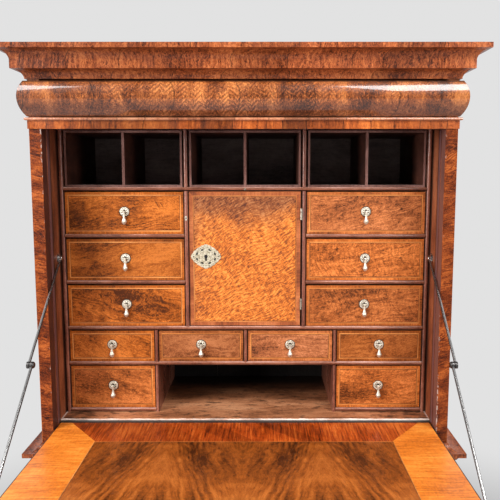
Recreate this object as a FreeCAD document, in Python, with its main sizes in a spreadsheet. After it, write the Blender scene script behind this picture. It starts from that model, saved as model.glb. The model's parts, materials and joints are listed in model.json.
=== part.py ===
import FreeCAD, Part
import math
import os
import Sketcher

# Walnut fall-front cabinet: an upper case with a nest of drawers behind a
# pivoted writing fall, on a lower case of drawers. Millimetres, +Z up, front
# towards -Y, origin under the middle of the part with the fall open.

doc = FreeCAD.newDocument("fall_front_cabinet")
sheet = doc.addObject("Spreadsheet::Sheet", "sizes")

# Driving dimensions. Heights named over_floor are measured from the writing
# surface; setbacks are measured from the front face of the case sides.
DRIVING = [
    ("case_width", 1050, "upper case, over the sides"),
    ("case_depth", 438, "upper case, front face to back"),
    ("side_board", 29.5, "case side thickness"),
    ("back_board", 10, "back board thickness"),
    ("back_gap", 1, "gap between back boards"),
    ("back_lap", 8, "back board's rebate under its neighbour"),
    ("floor_height", 730, "writing surface over the ground"),
    ("floor_board", 22, "writing floor thickness"),
    ("floor_setback", 60, "tip of the floor's rounded edge"),
    ("trough_gap", 2, "bottom board below the fall's tail as it swings"),
    ("bottom_board", 14, "upper case bottom board"),
    ("top_board", 16, "upper case top board"),
    ("dust_board", 16, "board under the frieze drawer"),
    ("rail_depth", 22, "front rail of the frieze, front to back"),
    ("stop_bead_width", 14, "fall stop bead, front to back"),
    ("stop_bead_proud", 2, "fall stop bead, off the case side"),
    ("fall_board", 32, "fall thickness"),
    ("fall_step", 5, "open fall's surface below the floor"),
    ("fall_gap", 2.5, "fall to case side"),
    ("fall_edge_gap", 1.5, "fall edges to the rail and the bottom moulding"),
    ("pivot_inset", 8, "pivot pin centre from the fall's inner face"),
    ("pivot_radius", 4, "pivot pin"),
    ("pivot_reach", 18, "pivot pin inside the fall"),
    ("pivot_seat", 15, "pivot pin inside the case side"),
    ("pivot_plate", 2, "brass plate on the fall's end"),
    ("pivot_plate_height", 22, "plate across the fall's thickness"),
    ("pivot_plate_length", 60, "plate along the fall"),
    ("running_gap", 0.05, "radial clearance of every pin"),
    ("lock_width", 90, "fall lock"),
    ("lock_height", 58, "fall lock"),
    ("lock_depth", 12, "fall lock"),
    ("let_in_gap", 0.2, "clearance round let-in hardware"),
    ("rail_over_floor", 764, "underside of the frieze rail"),
    ("band_height", 20, "cross-banded band"),
    ("band_proud", 3, "band in front of the case"),
    ("bead_height", 7, "bead over the band"),
    ("bead_proud", 9, "tip of the bead in front of the case"),
    ("frieze_gap", 2.5, "gap under the frieze drawer"),
    ("cornice_gap", 5, "gap over the frieze drawer"),
    ("cushion_height", 84.5, "cushion frieze"),
    ("cushion_foot", 3, "cushion's lower edge in front of the case"),
    ("cushion_head", 8, "cushion's upper edge in front of the case"),
    ("cushion_radius", 68, "cushion's bulge"),
    ("mitre_gap", 0.4, "drawer front to fixed return, at the mitre"),
    ("face_gap", 0.5, "overlaid front to the case face"),
    ("cornice_fillet", 3, "small flat at the cornice's foot"),
    ("cornice_foot", 5, "cornice foot in front of the case"),
    ("cove_rise", 18, "lower cove of the cornice"),
    ("cove_reach", 23, "lower cove of the cornice"),
    ("cove_radius", 24, "lower cove of the cornice"),
    ("fascia_step", 2, "step under the fascia"),
    ("fascia_height", 21, "fascia"),
    ("crown_rise", 22, "hollow over the fascia"),
    ("crown_reach", 24, "hollow over the fascia"),
    ("crown_radius", 26, "hollow over the fascia"),
    ("crown_step", 4, "step under the top fillet"),
    ("crown_fillet", 12, "top fillet"),
    ("cornice_lap", 14, "cornice over the top board"),
    ("nest_setback", 120, "nest drawer fronts behind the case front"),
    ("nest_board", 10.5, "nest shelves"),
    ("nest_side", 12, "nest side boards"),
    ("nest_fit", 0.5, "nest to case side"),
    ("upright_board", 11, "uprights beside the door"),
    ("divider_board", 9, "dividers between small drawers"),
    ("front_recess", 1, "drawer fronts behind the nest's face"),
    ("row_low", 121.5, "bottom corner drawers, opening height"),
    ("row_four", 88.5, "row of four, opening height"),
    ("row_stack", 115.5, "stacked drawers, opening height"),
    ("door_half", 152, "half the door opening"),
    ("drawer_gap", 1.2, "small drawer to opening, each side, and twice that over it"),
    ("drawer_front", 14, "small drawer front"),
    ("drawer_lining", 7, "small drawer sides and back"),
    ("drawer_bottom", 5, "small drawer bottom"),
    ("drawer_room", 11, "behind a small drawer"),
    ("lining_drop", 4, "drawer sides lower than the front"),
    ("box_wall", 5.5, "pigeonhole box walls"),
    ("box_divider", 7, "pigeonhole box middle wall"),
    ("box_gap", 4, "pigeonhole box to upright"),
    ("box_fit", 7, "pigeonhole box under the dust board"),
    ("box_room", 7, "behind a pigeonhole box"),
    ("box_back", 4, "pigeonhole box back"),
    ("door_board", 18, "door thickness"),
    ("door_gap", 0.8, "door to opening"),
    ("hinge_gap", 2.8, "door to upright on the hinge side"),
    ("hinge_leaf", 1.2, "hinge leaf thickness"),
    ("hinge_height", 30, "butt hinge"),
    ("hinge_width", 15, "butt hinge leaf, front to back"),
    ("hinge_barrel", 3.2, "butt hinge knuckle radius"),
    ("hinge_pin", 1.4, "butt hinge pin radius"),
    ("hinge_offset", 61, "hinge to the door's end"),
    ("barrel_gap", 0.3, "knuckle to knuckle, and knuckle to door"),
    ("plate_width", 83, "lozenge escutcheon"),
    ("plate_height", 67, "lozenge escutcheon"),
    ("plate_bow", 90, "lozenge escutcheon edge radius"),
    ("plate_thickness", 1.6, "brass plates"),
    ("plate_inset", 3.7, "door's edge to the escutcheon's tip"),
    ("fall_plate_inset", 6, "fall's lip to its escutcheon's tip"),
    ("keyhole_radius", 3.2, "keyhole"),
    ("keyhole_slot", 3, "keyhole slot width"),
    ("keyhole_drop", 11, "keyhole slot length"),
    ("door_key_rise", 8, "door's keyhole over the middle of the cupboard"),
    ("door_lock_width", 62, "door lock case"),
    ("door_lock_height", 70, "door lock case"),
    ("door_lock_depth", 13, "door lock case"),
    ("stop_pin_radius", 3, "brass pin over the door"),
    ("stop_pin_length", 6, "brass pin over the door, in front of its shelf"),
    ("stop_pin_seat", 12, "brass pin over the door, in its shelf"),
    ("handle_rise", 4, "handle plate above the drawer's middle"),
    ("handle_plate", 11.8, "handle plate radius"),
    ("wire_radius", 1, "handle loop wire"),
    ("wire_reach", 8.2, "handle loop in front of the drawer"),
    ("wire_half", 3.5, "half the handle loop's width"),
    ("eye_radius", 2.7, "drop's eye"),
    ("eye_length", 4.2, "drop's eye"),
    ("drop_neck", 2.4, "drop's neck radius"),
    ("drop_belly", 6.8, "drop's widest radius"),
    ("drop_belly_fall", 25, "drop's widest place below its pin"),
    ("drop_length", 34, "drop's tip below its pin"),
    ("drop_tip", 1.2, "drop's tip radius"),
    ("stay_setback", 92, "stay's upper pivot behind the case front"),
    ("stay_over_floor", 432, "stay's upper pivot"),
    ("stay_foot", 12, "stay's lower pivot over the fall's face"),
    ("knee_gap", 1.5, "upper arm's eye to the lower arm's at the knee"),
    ("stay_rod", 3.3, "stay rod radius"),
    ("stay_eye", 8, "stay eye radius"),
    ("stay_eye_width", 6, "stay eye thickness"),
    ("stay_stud", 3.5, "stay stud radius"),
    ("stay_cap", 6, "stay stud cap radius"),
    ("stay_cap_width", 2, "stay stud cap thickness"),
    ("stay_plate", 2, "stay bracket plate"),
    ("stay_plate_radius", 14, "stay bracket plate on the case side"),
    ("stay_lug", 5, "stay lug thickness on the fall"),
    ("stay_clear", 0.5, "eye to cap, lug and plate"),
    ("lower_step", 18, "lower case beyond the upper case, front and sides"),
    ("lower_side", 26, "lower case side thickness"),
    ("lower_board", 20, "lower case top, bottom and rails"),
    ("rail_width", 70, "lower case rails, front to back"),
    ("muntin_width", 24, "post between the short drawers"),
    ("runner_width", 30, "drawer runners"),
    ("runner_height", 12, "drawer runners"),
    ("row_short", 142, "short drawers, opening height"),
    ("row_upper", 157, "upper long drawer, opening height"),
    ("chest_front", 20, "lower drawer front"),
    ("chest_lining", 10, "lower drawer sides and back"),
    ("chest_bottom", 7, "lower drawer bottom"),
    ("chest_room", 31, "behind a lower drawer"),
    ("frieze_room", 13, "behind the frieze drawer"),
    ("chest_gap", 1.2, "large drawer to opening, each side, and twice that over it"),
    ("chest_handle", 300, "long drawer handles from the middle"),
    ("waist_height", 37, "waist moulding"),
    ("waist_gap", 2, "open fall to the waist moulding"),
    ("waist_flat", 3, "waist moulding's top edge"),
    ("waist_reach", 40, "waist moulding in front of the upper case"),
    ("waist_edge", 11, "waist moulding's outer edge"),
    ("waist_cove", 26, "waist moulding's upper hollow"),
    ("waist_under", 20, "waist moulding's lower hollow"),
    ("base_drop", 21, "base moulding below the lower case"),
    ("base_gap", 1, "base moulding below the lowest drawer"),
    ("base_reach", 26, "base moulding in front of the lower case"),
    ("base_plinth", 18, "base moulding's upright part"),
    ("base_flat", 3, "base moulding's top edge"),
    ("base_round", 24, "base moulding's upper hollow"),
    ("foot_height", 96, "bun foot"),
    ("foot_radius", 62, "bun foot's widest radius"),
    ("foot_neck", 34, "bun foot's neck radius"),
    ("foot_pad", 36, "bun foot's ground contact radius"),
    ("foot_neck_height", 14, "bun foot's neck"),
    ("foot_bulge", 44, "bun foot's outline radius"),
    ("foot_inset", 66, "bun foot's centre from the case corner"),
]


class Size:
    """A length that knows its value and the sheet formula behind it."""

    def __init__(self, text, value):
        self.text = text
        self.value = value

    def join(self, sign, other, value):
        return Size("(%s %s %s)" % (self.text, sign, other.text), value)

    def __add__(self, other):
        other = as_size(other)
        return self.join("+", other, self.value + other.value)

    def __sub__(self, other):
        other = as_size(other)
        return self.join("-", other, self.value - other.value)

    def __mul__(self, other):
        other = as_size(other)
        return self.join("*", other, self.value * other.value)

    def __truediv__(self, other):
        other = as_size(other)
        return self.join("/", other, self.value / other.value)

    def __neg__(self):
        return Size("(0 - %s)" % self.text, -self.value)


def as_size(amount):
    if isinstance(amount, Size):
        return amount
    return Size("(%r)" % float(amount), float(amount))


def root_of(amount):
    return Size("sqrt(%s)" % amount.text, math.sqrt(amount.value))


def angle_of(rise, run):
    ratio = rise / run
    return Size("atan(%s)" % ratio.text, math.degrees(math.atan(ratio.value)))


sizes = {}
for row, (alias, amount, meaning) in enumerate(DRIVING, start=1):
    sheet.set("A%d" % row, meaning)
    sheet.set("B%d" % row, str(amount))
    sheet.setAlias("B%d" % row, alias)
    sizes[alias] = Size("sizes.%s" % alias, float(amount))
doc.recompute()

ZERO = as_size(0)
ORIGIN = (ZERO, ZERO, ZERO)
RIGHT = FreeCAD.Vector(1, 0, 0)
BACK = FreeCAD.Vector(0, 1, 0)
UP = FreeCAD.Vector(0, 0, 1)
TURNED_TO = {
    "x": FreeCAD.Rotation(BACK, 90),
    "y": FreeCAD.Rotation(RIGHT, -90),
    "z": FreeCAD.Rotation(),
}
BACK_BOARD_COUNT = 5
nodes = {}


def bind(item, prop, amount):
    item.setExpression(prop, as_size(amount).text)


def place(item, point, rotation=None):
    item.Placement = FreeCAD.Placement(FreeCAD.Vector(), rotation or FreeCAD.Rotation())
    for axis, amount in zip("xyz", point):
        bind(item, "Placement.Base." + axis, amount)
    return item


def box(low, high):
    """A board between two corners."""
    item = doc.addObject("Part::Box", "board")
    for prop, start, end in zip(("Length", "Width", "Height"), low, high):
        bind(item, prop, as_size(end) - start)
    return place(item, low)


def rod(axis, start, length, radius):
    """A round bar from its start point along +x, +y or +z."""
    item = doc.addObject("Part::Cylinder", "rod")
    bind(item, "Radius", radius)
    bind(item, "Height", length)
    return place(item, start, TURNED_TO[axis])


def fuse(members):
    item = doc.addObject("Part::MultiFuse", "joined")
    item.Shapes = members
    item.Refine = True
    return item


def cut(base, tool):
    item = doc.addObject("Part::Cut", "trimmed")
    item.Base = base
    item.Tool = tool
    return item


def group(members, point=ORIGIN, rotation=None):
    item = doc.addObject("Part::Compound", "group")
    item.Links = members
    return place(item, point, rotation)


def node(label, members, point=ORIGIN, rotation=None):
    """One named sub-part, made of the solids listed."""
    item = group(members, point, rotation)
    item.Label = label
    nodes[label] = item
    return item


def arc_between(start, end, radius, turns_left):
    """The short arc from start to end, its centre to the left of travel or to the right."""
    chord = end - start
    middle = (start + end) * 0.5
    side = FreeCAD.Vector(-chord.y, chord.x, 0).normalize()
    rise = math.sqrt(radius * radius - chord.Length * chord.Length / 4)
    centre = middle + side * (rise if turns_left else -rise)
    first, last = (start, end) if turns_left else (end, start)
    circle = Part.Circle(centre, UP, radius)
    angles = [math.atan2(p.y - centre.y, p.x - centre.x) for p in (first, last)]
    return Part.ArcOfCircle(circle, angles[0], angles[1])


def outline(points, arcs, axes):
    """A closed sketch through the points. arcs maps a point's index to the radius of the
    arc that leaves it and to whether that arc turns left. axes are the sketch's x and y."""
    item = doc.addObject("Sketcher::SketchObject", "outline")
    across, upward = axes
    turn = FreeCAD.Rotation(across, upward, across.cross(upward), "ZXY")
    item.Placement = FreeCAD.Placement(FreeCAD.Vector(), turn)
    spots = [FreeCAD.Vector(as_size(a).value, as_size(b).value, 0) for a, b in points]
    starts = []
    ends = []
    for index, spot in enumerate(spots):
        following = spots[(index + 1) % len(spots)]
        turns_left = True
        if index in arcs:
            radius, turns_left = arcs[index]
            edge = arc_between(spot, following, as_size(radius).value, turns_left)
        else:
            edge = Part.LineSegment(spot, following)
        item.addGeometry(edge, False)
        starts.append(1 if turns_left else 2)
        ends.append(2 if turns_left else 1)
    for index in range(len(spots)):
        following = (index + 1) % len(spots)
        joint = Sketcher.Constraint("Coincident", index, ends[index], following, starts[following])
        item.addConstraint(joint)
    for index, (spot, point) in enumerate(zip(spots, points)):
        for kind, value, amount in zip(("DistanceX", "DistanceY"), (spot.x, spot.y), point):
            rule = Sketcher.Constraint(kind, -1, 1, index, starts[index], value)
            bind(item, "Constraints[%d]" % item.addConstraint(rule), amount)
    for index, (radius, turns_left) in arcs.items():
        rule = Sketcher.Constraint("Radius", index, as_size(radius).value)
        bind(item, "Constraints[%d]" % item.addConstraint(rule), radius)
    return item


def extrude(sketch, point, length):
    """Pushes a sketch along its normal, from the given place."""
    for axis, amount in zip("xyz", point):
        bind(sketch, "Placement.Base." + axis, amount)
    item = doc.addObject("Part::Extrusion", "run")
    item.Base = sketch
    item.DirMode = "Normal"
    item.Solid = True
    bind(item, "LengthFwd", length)
    return item


def turn_up(sketch):
    """Turns a sketch in the XZ plane about the Z axis."""
    item = doc.addObject("Part::Revolution", "turned")
    item.Source = sketch
    item.Axis = UP
    item.Base = FreeCAD.Vector()
    item.Angle = 360
    item.Solid = True
    return item


def mitre_block(corner_x, corner_y, outside, hand):
    """A block on one side of the 45 degree plane through a front corner: hand is 1 at the
    right corner and -1 at the left. The outside block trims a front run, the other a return."""
    item = doc.addObject("Part::Box", "mitre")
    bind(item, "Length", half_case)
    bind(item, "Width", half_case * 2)
    bind(item, "Height", cornice_top_z * 2)
    turn = 90 - 45 * hand + (0 if outside else 180)
    along_x = half_case * math.sin(math.radians(turn))
    along_y = half_case * math.cos(math.radians(turn))
    base = (corner_x + along_x, corner_y - along_y, -cornice_top_z / 2)
    return place(item, base, FreeCAD.Rotation(UP, turn))


def front_run(points, arcs, half_width, front, reach, trim=ZERO):
    """A moulding across the front, mitred at both ends. Points are (forward, height)."""
    length = (half_width + reach) * 2
    sketch = outline(points, arcs, (-BACK, UP))
    run = extrude(sketch, (half_width + reach, front, ZERO), length)
    right = mitre_block(half_width - trim, front, True, 1)
    left = mitre_block(trim - half_width, front, True, -1)
    return cut(cut(run, right), left)


def side_runs(points, arcs, half_width, front, back, reach):
    """The two returns of a moulding along the case sides, mitred at the front."""
    length = back - front + reach
    right = outline(points, arcs, (RIGHT, UP))
    left = outline(points, arcs, (-RIGHT, UP))
    right_run = extrude(right, (half_width, back, ZERO), length)
    left_run = extrude(left, (-half_width, front - reach, ZERO), length)
    right_run = cut(right_run, mitre_block(half_width, front, False, 1))
    left_run = cut(left_run, mitre_block(-half_width, front, False, -1))
    return [right_run, left_run]


def moulding(points, arcs, half_width, front, back, reach):
    runs = side_runs(points, arcs, half_width, front, back, reach)
    return [front_run(points, arcs, half_width, front, reach)] + runs


def nosed_shelf(left, right, front, back, low, high):
    """A level board with a half-round front edge."""
    radius = (as_size(high) - low) / 2
    body = box((left, front + radius, low), (right, back, high))
    nose = rod("x", (left, front + radius, low + radius), as_size(right) - left, radius)
    return fuse([body, nose])


def nosed_upright(left, right, front, back, low, high):
    """An upright board with a half-round front edge."""
    radius = (as_size(right) - left) / 2
    body = box((left, front + radius, low), (right, back, high))
    nose = rod("z", (left + radius, front + radius, low), as_size(high) - low, radius)
    return fuse([body, nose])


def mirrored_pair(left, right):
    """The span as given and its mirror image."""
    return [(as_size(left), as_size(right)), (-as_size(right), -as_size(left))]


# Planes that the rest is set out from.
side = sizes["side_board"]
half_case = sizes["case_width"] / 2
half_inside = half_case - side
pivot_setback = sizes["fall_board"] - sizes["pivot_inset"]
floor_z = sizes["floor_height"]
fall_face_z = floor_z - sizes["fall_step"]
fall_under_z = fall_face_z - sizes["fall_board"]
pivot_z = fall_face_z - sizes["pivot_inset"]
rail_z = floor_z + sizes["rail_over_floor"]
fall_reach = rail_z - sizes["fall_edge_gap"] - pivot_z
fall_tail = pivot_setback + sizes["fall_edge_gap"]
front_y = (fall_reach - pivot_setback - sizes["case_depth"]) / 2
back_y = front_y + sizes["case_depth"]
board_back_y = back_y - sizes["back_board"]
pivot_y = front_y + pivot_setback
tail_swing = root_of(pivot_setback * pivot_setback + fall_tail * fall_tail)
trough_z = pivot_z - tail_swing - sizes["trough_gap"]
upper_foot_z = trough_z - sizes["bottom_board"]
band_top_z = rail_z + sizes["band_height"]
bead_top_z = band_top_z + sizes["bead_height"]
cushion_z = bead_top_z + sizes["frieze_gap"]
cushion_top_z = cushion_z + sizes["cushion_height"]
cornice_z = cushion_top_z + sizes["cornice_gap"]
cove_z = cornice_z + sizes["cornice_fillet"]
fascia_z = cove_z + sizes["cove_rise"]
crown_z = fascia_z + sizes["fascia_height"]
crown_top_z = crown_z + sizes["crown_rise"]
cornice_top_z = crown_top_z + sizes["crown_fillet"]
upper_top_z = cornice_top_z - sizes["cornice_lap"]
dust_z = bead_top_z - sizes["dust_board"]
nest_face_y = front_y + sizes["nest_setback"]
nest_tip_y = nest_face_y - sizes["nest_board"] / 2
small_front_y = nest_face_y + sizes["front_recess"]


def upper_case():
    members = []
    for left, right in mirrored_pair(half_inside, half_case):
        members.append(box((left, front_y, upper_foot_z), (right, back_y, upper_top_z)))
    seat = sizes["pivot_seat"]
    holes = [
        rod("x", (half_inside, pivot_y, pivot_z), seat, sizes["pivot_radius"]),
        rod("x", (-half_inside - seat, pivot_y, pivot_z), seat, sizes["pivot_radius"]),
    ]
    members = [cut(cheek, hole) for cheek, hole in zip(members, holes)]
    bottom_low = (-half_inside, front_y, upper_foot_z)
    members.append(box(bottom_low, (half_inside, board_back_y, trough_z)))
    top_low_z = upper_top_z - sizes["top_board"]
    members.append(box((-half_inside, front_y, top_low_z), (half_inside, board_back_y, upper_top_z)))
    rail_back_y = front_y + sizes["rail_depth"]
    members.append(box((-half_inside, front_y, rail_z), (half_inside, rail_back_y, bead_top_z)))
    members.append(box((-half_inside, rail_back_y, dust_z), (half_inside, board_back_y, bead_top_z)))
    members.append(box((-half_inside, front_y, cornice_z), (half_inside, rail_back_y, top_low_z)))
    bead_y = front_y + sizes["fall_board"] + sizes["fall_edge_gap"]
    bead_back_y = bead_y + sizes["stop_bead_width"]
    bead_edge = half_inside - sizes["stop_bead_proud"]
    for left, right in mirrored_pair(bead_edge, half_inside):
        members.append(box((left, bead_y, floor_z), (right, bead_back_y, rail_z)))
    node("upper_case", members)


def writing_floor():
    floor_y = front_y + sizes["floor_setback"]
    low = floor_z - sizes["floor_board"]
    node("writing_floor", [nosed_shelf(-half_inside, half_inside, floor_y, board_back_y, low, floor_z)])


def back_boards():
    """Upright boards with rebated edges, so that each laps the one beside it."""
    members = []
    gap = sizes["back_gap"]
    lap = sizes["back_lap"]
    lap_y = board_back_y + sizes["back_board"] / 2
    spans = [
        (half_inside, upper_foot_z, upper_top_z),
        (half_chest, lower_foot_z, lower_top_z),
    ]
    for half_span, low, high in spans:
        width = half_span * 2 / BACK_BOARD_COUNT
        for index in range(BACK_BOARD_COUNT):
            left = width * index - half_span
            right = left + width - gap
            lap_left = left + lap
            lap_right = right + lap
            if index == 0:
                lap_left = left
            if index == BACK_BOARD_COUNT - 1:
                right = half_span
                lap_right = half_span
            inner_half = box((left, board_back_y, low), (right, lap_y, high))
            outer_half = box((lap_left, lap_y, low), (lap_right, back_y, high))
            members.append(fuse([inner_half, outer_half]))
    node("back_boards", members)


def cornice():
    foot = sizes["cornice_foot"]
    cove = foot + sizes["cove_reach"]
    fascia = cove + sizes["fascia_step"]
    crown = fascia + sizes["crown_reach"]
    top = crown + sizes["crown_step"]
    points = [
        (ZERO, cornice_z),
        (foot, cornice_z),
        (foot, cove_z),
        (cove, fascia_z),
        (fascia, fascia_z),
        (fascia, crown_z),
        (crown, crown_top_z),
        (top, crown_top_z),
        (top, cornice_top_z),
        (ZERO, cornice_top_z),
    ]
    arcs = {2: (sizes["cove_radius"], False), 5: (sizes["crown_radius"], False)}
    node("cornice", moulding(points, arcs, half_case, front_y, back_y, top))


def cushion_outline(inner):
    points = [
        (inner, cushion_z),
        (sizes["cushion_foot"], cushion_z),
        (sizes["cushion_head"], cushion_top_z),
        (inner, cushion_top_z),
    ]
    return points, {1: (sizes["cushion_radius"], True)}


def frieze_rail():
    tip = sizes["bead_proud"]
    nose = sizes["bead_height"] / 2
    points = [
        (ZERO, rail_z),
        (sizes["band_proud"], rail_z),
        (sizes["band_proud"], band_top_z),
        (tip - nose, band_top_z),
        (tip, band_top_z + nose),
        (tip - nose, bead_top_z),
        (ZERO, bead_top_z),
    ]
    arcs = {3: (nose, True), 4: (nose, True)}
    members = moulding(points, arcs, half_case, front_y, back_y, tip)
    points, arcs = cushion_outline(ZERO)
    members += side_runs(points, arcs, half_case, front_y, back_y, sizes["cushion_radius"])
    node("frieze_rail", members)


def drawer_boards(width, height, depth, front, lining, bottom, lining_drop):
    """A drawer standing on z = 0 with the middle of its front at the origin."""
    half = width / 2
    top = height - lining_drop
    members = []
    members.append(box((-half, ZERO, ZERO), (half, front, height)))
    for left, right in mirrored_pair(half - lining, half):
        members.append(box((left, front, ZERO), (right, depth, top)))
    inner = half - lining
    members.append(box((-inner, depth - lining, ZERO), (inner, depth, top)))
    members.append(box((-inner, front, lining), (inner, depth - lining, lining + bottom)))
    return members


def handle_fixings(across, height):
    """The round plate and wire loop that a drop hangs from, on the face y = 0."""
    reach = sizes["wire_reach"]
    half = sizes["wire_half"]
    wire = sizes["wire_radius"]
    plate = rod("y", (across, -sizes["plate_thickness"], height), sizes["plate_thickness"],
                sizes["handle_plate"])
    bar = rod("x", (across - half - wire, -reach, height), (half + wire) * 2, wire)
    legs = [rod("y", (across + offset, -reach, height), reach - sizes["plate_thickness"], wire)
            for offset in (half, -half)]
    return [plate, fuse([bar] + legs)]


def drop_shape():
    """A pear-shaped drop hanging from an eye whose axis is the local x axis."""
    neck = sizes["drop_neck"]
    eye = sizes["eye_radius"]
    belly_z = -sizes["drop_belly_fall"]
    tip_z = -sizes["drop_length"]
    points = [
        (ZERO, tip_z),
        (sizes["drop_tip"], tip_z),
        (sizes["drop_belly"], belly_z),
        (neck, -eye * 2),
        (neck, ZERO),
        (ZERO, ZERO),
    ]
    flank = sizes["drop_length"]
    arcs = {1: (sizes["drop_belly_fall"] / 2, True), 2: (flank, False)}
    pear = turn_up(outline(points, arcs, (RIGHT, UP)))
    half = sizes["eye_length"] / 2
    barrel = rod("x", (-half, ZERO, ZERO), half * 2, eye)
    bore = rod("x", (-half * 2, ZERO, ZERO), half * 4, sizes["wire_radius"] + sizes["running_gap"])
    return cut(fuse([pear, barrel]), bore)


def hang_drop(label, across, face_y, height):
    node(label, [drop], (across, face_y - sizes["wire_reach"], height))


# Columns and rows of the nest, from the middle out and from the floor up.
half_nest = half_inside - sizes["nest_fit"]
nest_inner = half_nest - sizes["nest_side"]
upright_outer = sizes["door_half"] + sizes["upright_board"]
half_divider = sizes["divider_board"] / 2
cell_width = (nest_inner - half_divider - sizes["divider_board"]) / 2
cell_edge = half_divider + cell_width
corner_left = cell_edge + sizes["divider_board"]
board = sizes["nest_board"]
low_row_z = floor_z + board
low_shelf_z = low_row_z + sizes["row_low"]
four_row_z = low_shelf_z + board
four_shelf_z = four_row_z + sizes["row_four"]
stack_z = four_shelf_z + board
stack_pitch = sizes["row_stack"] + board
stack_top_z = stack_z + stack_pitch * 3 - board
box_low_z = stack_top_z + board

# The cupboard door's hinge line and the brass pin over the door.
hinge_x = sizes["door_half"] - sizes["hinge_gap"] / 2
hinge_y = small_front_y - sizes["hinge_barrel"] - sizes["barrel_gap"]
door_low_z = stack_z + sizes["door_gap"]
door_high_z = stack_top_z - sizes["door_gap"]
hinge_middles = (door_low_z + sizes["hinge_offset"], door_high_z - sizes["hinge_offset"])


def stop_pin():
    start_y = nest_tip_y - sizes["stop_pin_length"]
    length = sizes["stop_pin_length"] + sizes["stop_pin_seat"]
    return rod("y", (ZERO, start_y, stack_top_z + board / 2), length, sizes["stop_pin_radius"])


def hinge_notch(middle):
    """Room for a hinge's knuckles in the rounded edge of the upright beside the door."""
    height = sizes["hinge_height"] + sizes["barrel_gap"] * 2
    start = (hinge_x, hinge_y, middle - height / 2)
    return rod("z", start, height, sizes["hinge_barrel"] + sizes["barrel_gap"])


def nest():
    shelves = []
    for left, right in mirrored_pair(corner_left, nest_inner):
        shelves.append(nosed_shelf(left, right, nest_tip_y, board_back_y, floor_z, low_row_z))
    for low in (low_shelf_z, four_shelf_z, stack_top_z):
        shelves.append(nosed_shelf(-nest_inner, nest_inner, nest_tip_y, board_back_y, low, low + board))
    shelves[-1] = cut(shelves[-1], stop_pin())
    for level in (1, 2):
        low = stack_z + stack_pitch * level - board
        for left, right in mirrored_pair(upright_outer, nest_inner):
            shelves.append(nosed_shelf(left, right, nest_tip_y, board_back_y, low, low + board))
    node("nest_shelves", shelves)

    uprights = []
    for left, right in mirrored_pair(nest_inner, half_nest):
        uprights.append(nosed_upright(left, right, nest_tip_y, board_back_y, floor_z, dust_z))
    for left, right in mirrored_pair(cell_edge, corner_left):
        uprights.append(nosed_upright(left, right, nest_tip_y, board_back_y, floor_z, low_shelf_z))
        uprights.append(nosed_upright(left, right, nest_tip_y, board_back_y, four_row_z, four_shelf_z))
    uprights.append(nosed_upright(-half_divider, half_divider, nest_tip_y, board_back_y,
                                  four_row_z, four_shelf_z))
    for left, right in mirrored_pair(sizes["door_half"], upright_outer):
        uprights.append(nosed_upright(left, right, nest_tip_y, board_back_y, box_low_z, dust_z))
        jamb = nosed_upright(left, right, nest_tip_y, board_back_y, stack_z, stack_top_z)
        if left.value > 0:
            for middle in hinge_middles:
                jamb = cut(jamb, hinge_notch(middle))
        uprights.append(jamb)
    node("nest_uprights", uprights)


def pigeonhole_boxes():
    members = []
    gap = sizes["box_gap"]
    wall = sizes["box_wall"]
    low = box_low_z
    high = dust_z - sizes["box_fit"]
    back = board_back_y - sizes["box_room"]
    inner_back = back - sizes["box_back"]
    spans = mirrored_pair(upright_outer + gap, nest_inner - gap)
    spans.append((gap - sizes["door_half"], sizes["door_half"] - gap))
    for left, right in spans:
        middle = (left + right) / 2
        half_wall = sizes["box_divider"] / 2
        members.append(box((left, small_front_y, low), (right, inner_back, low + wall)))
        members.append(box((left, small_front_y, high - wall), (right, inner_back, high)))
        for start in (left, right - wall):
            members.append(box((start, small_front_y, low + wall), (start + wall, inner_back, high - wall)))
        divider_low = (middle - half_wall, small_front_y, low + wall)
        members.append(box(divider_low, (middle + half_wall, inner_back, high - wall)))
        members.append(box((left, inner_back, low), (right, back, high)))
    node("pigeonhole_boxes", members)


def small_drawer_kind(opening_width, opening_height):
    gap = sizes["drawer_gap"]
    width = opening_width - gap * 2
    height = opening_height - gap * 2
    depth = board_back_y - sizes["drawer_room"] - small_front_y
    members = drawer_boards(width, height, depth, sizes["drawer_front"],
                            sizes["drawer_lining"], sizes["drawer_bottom"], sizes["lining_drop"])
    return members + handle_fixings(ZERO, height / 2 + sizes["handle_rise"])


def small_drawers():
    stack_width = nest_inner - upright_outer
    kinds = {
        "stack": (stack_width, sizes["row_stack"]),
        "four": (cell_width, sizes["row_four"]),
        "low": (nest_inner - corner_left, sizes["row_low"]),
    }
    boards = {kind: small_drawer_kind(*opening) for kind, opening in kinds.items()}
    stack_x = (nest_inner + upright_outer) / 2
    inner_x = half_divider + cell_width / 2
    outer_x = corner_left + cell_width / 2
    places = []
    for level, word in enumerate(("lower", "middle", "upper")):
        height = stack_z + stack_pitch * level
        places.append(("left_" + word, "stack", -stack_x, height))
        places.append(("right_" + word, "stack", stack_x, height))
    for word, across in (("far_left", -outer_x), ("near_left", -inner_x),
                         ("near_right", inner_x), ("far_right", outer_x)):
        places.append(("row_" + word, "four", across, four_row_z))
    places.append(("corner_left", "low", -outer_x, low_row_z))
    places.append(("corner_right", "low", outer_x, low_row_z))
    for word, kind, across, low in places:
        node("drawer_" + word, boards[kind], (across, small_front_y, low))
        height = low + kinds[kind][1] / 2 - sizes["drawer_gap"] + sizes["handle_rise"]
        hang_drop("drop_" + word, across, small_front_y, height)


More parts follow.
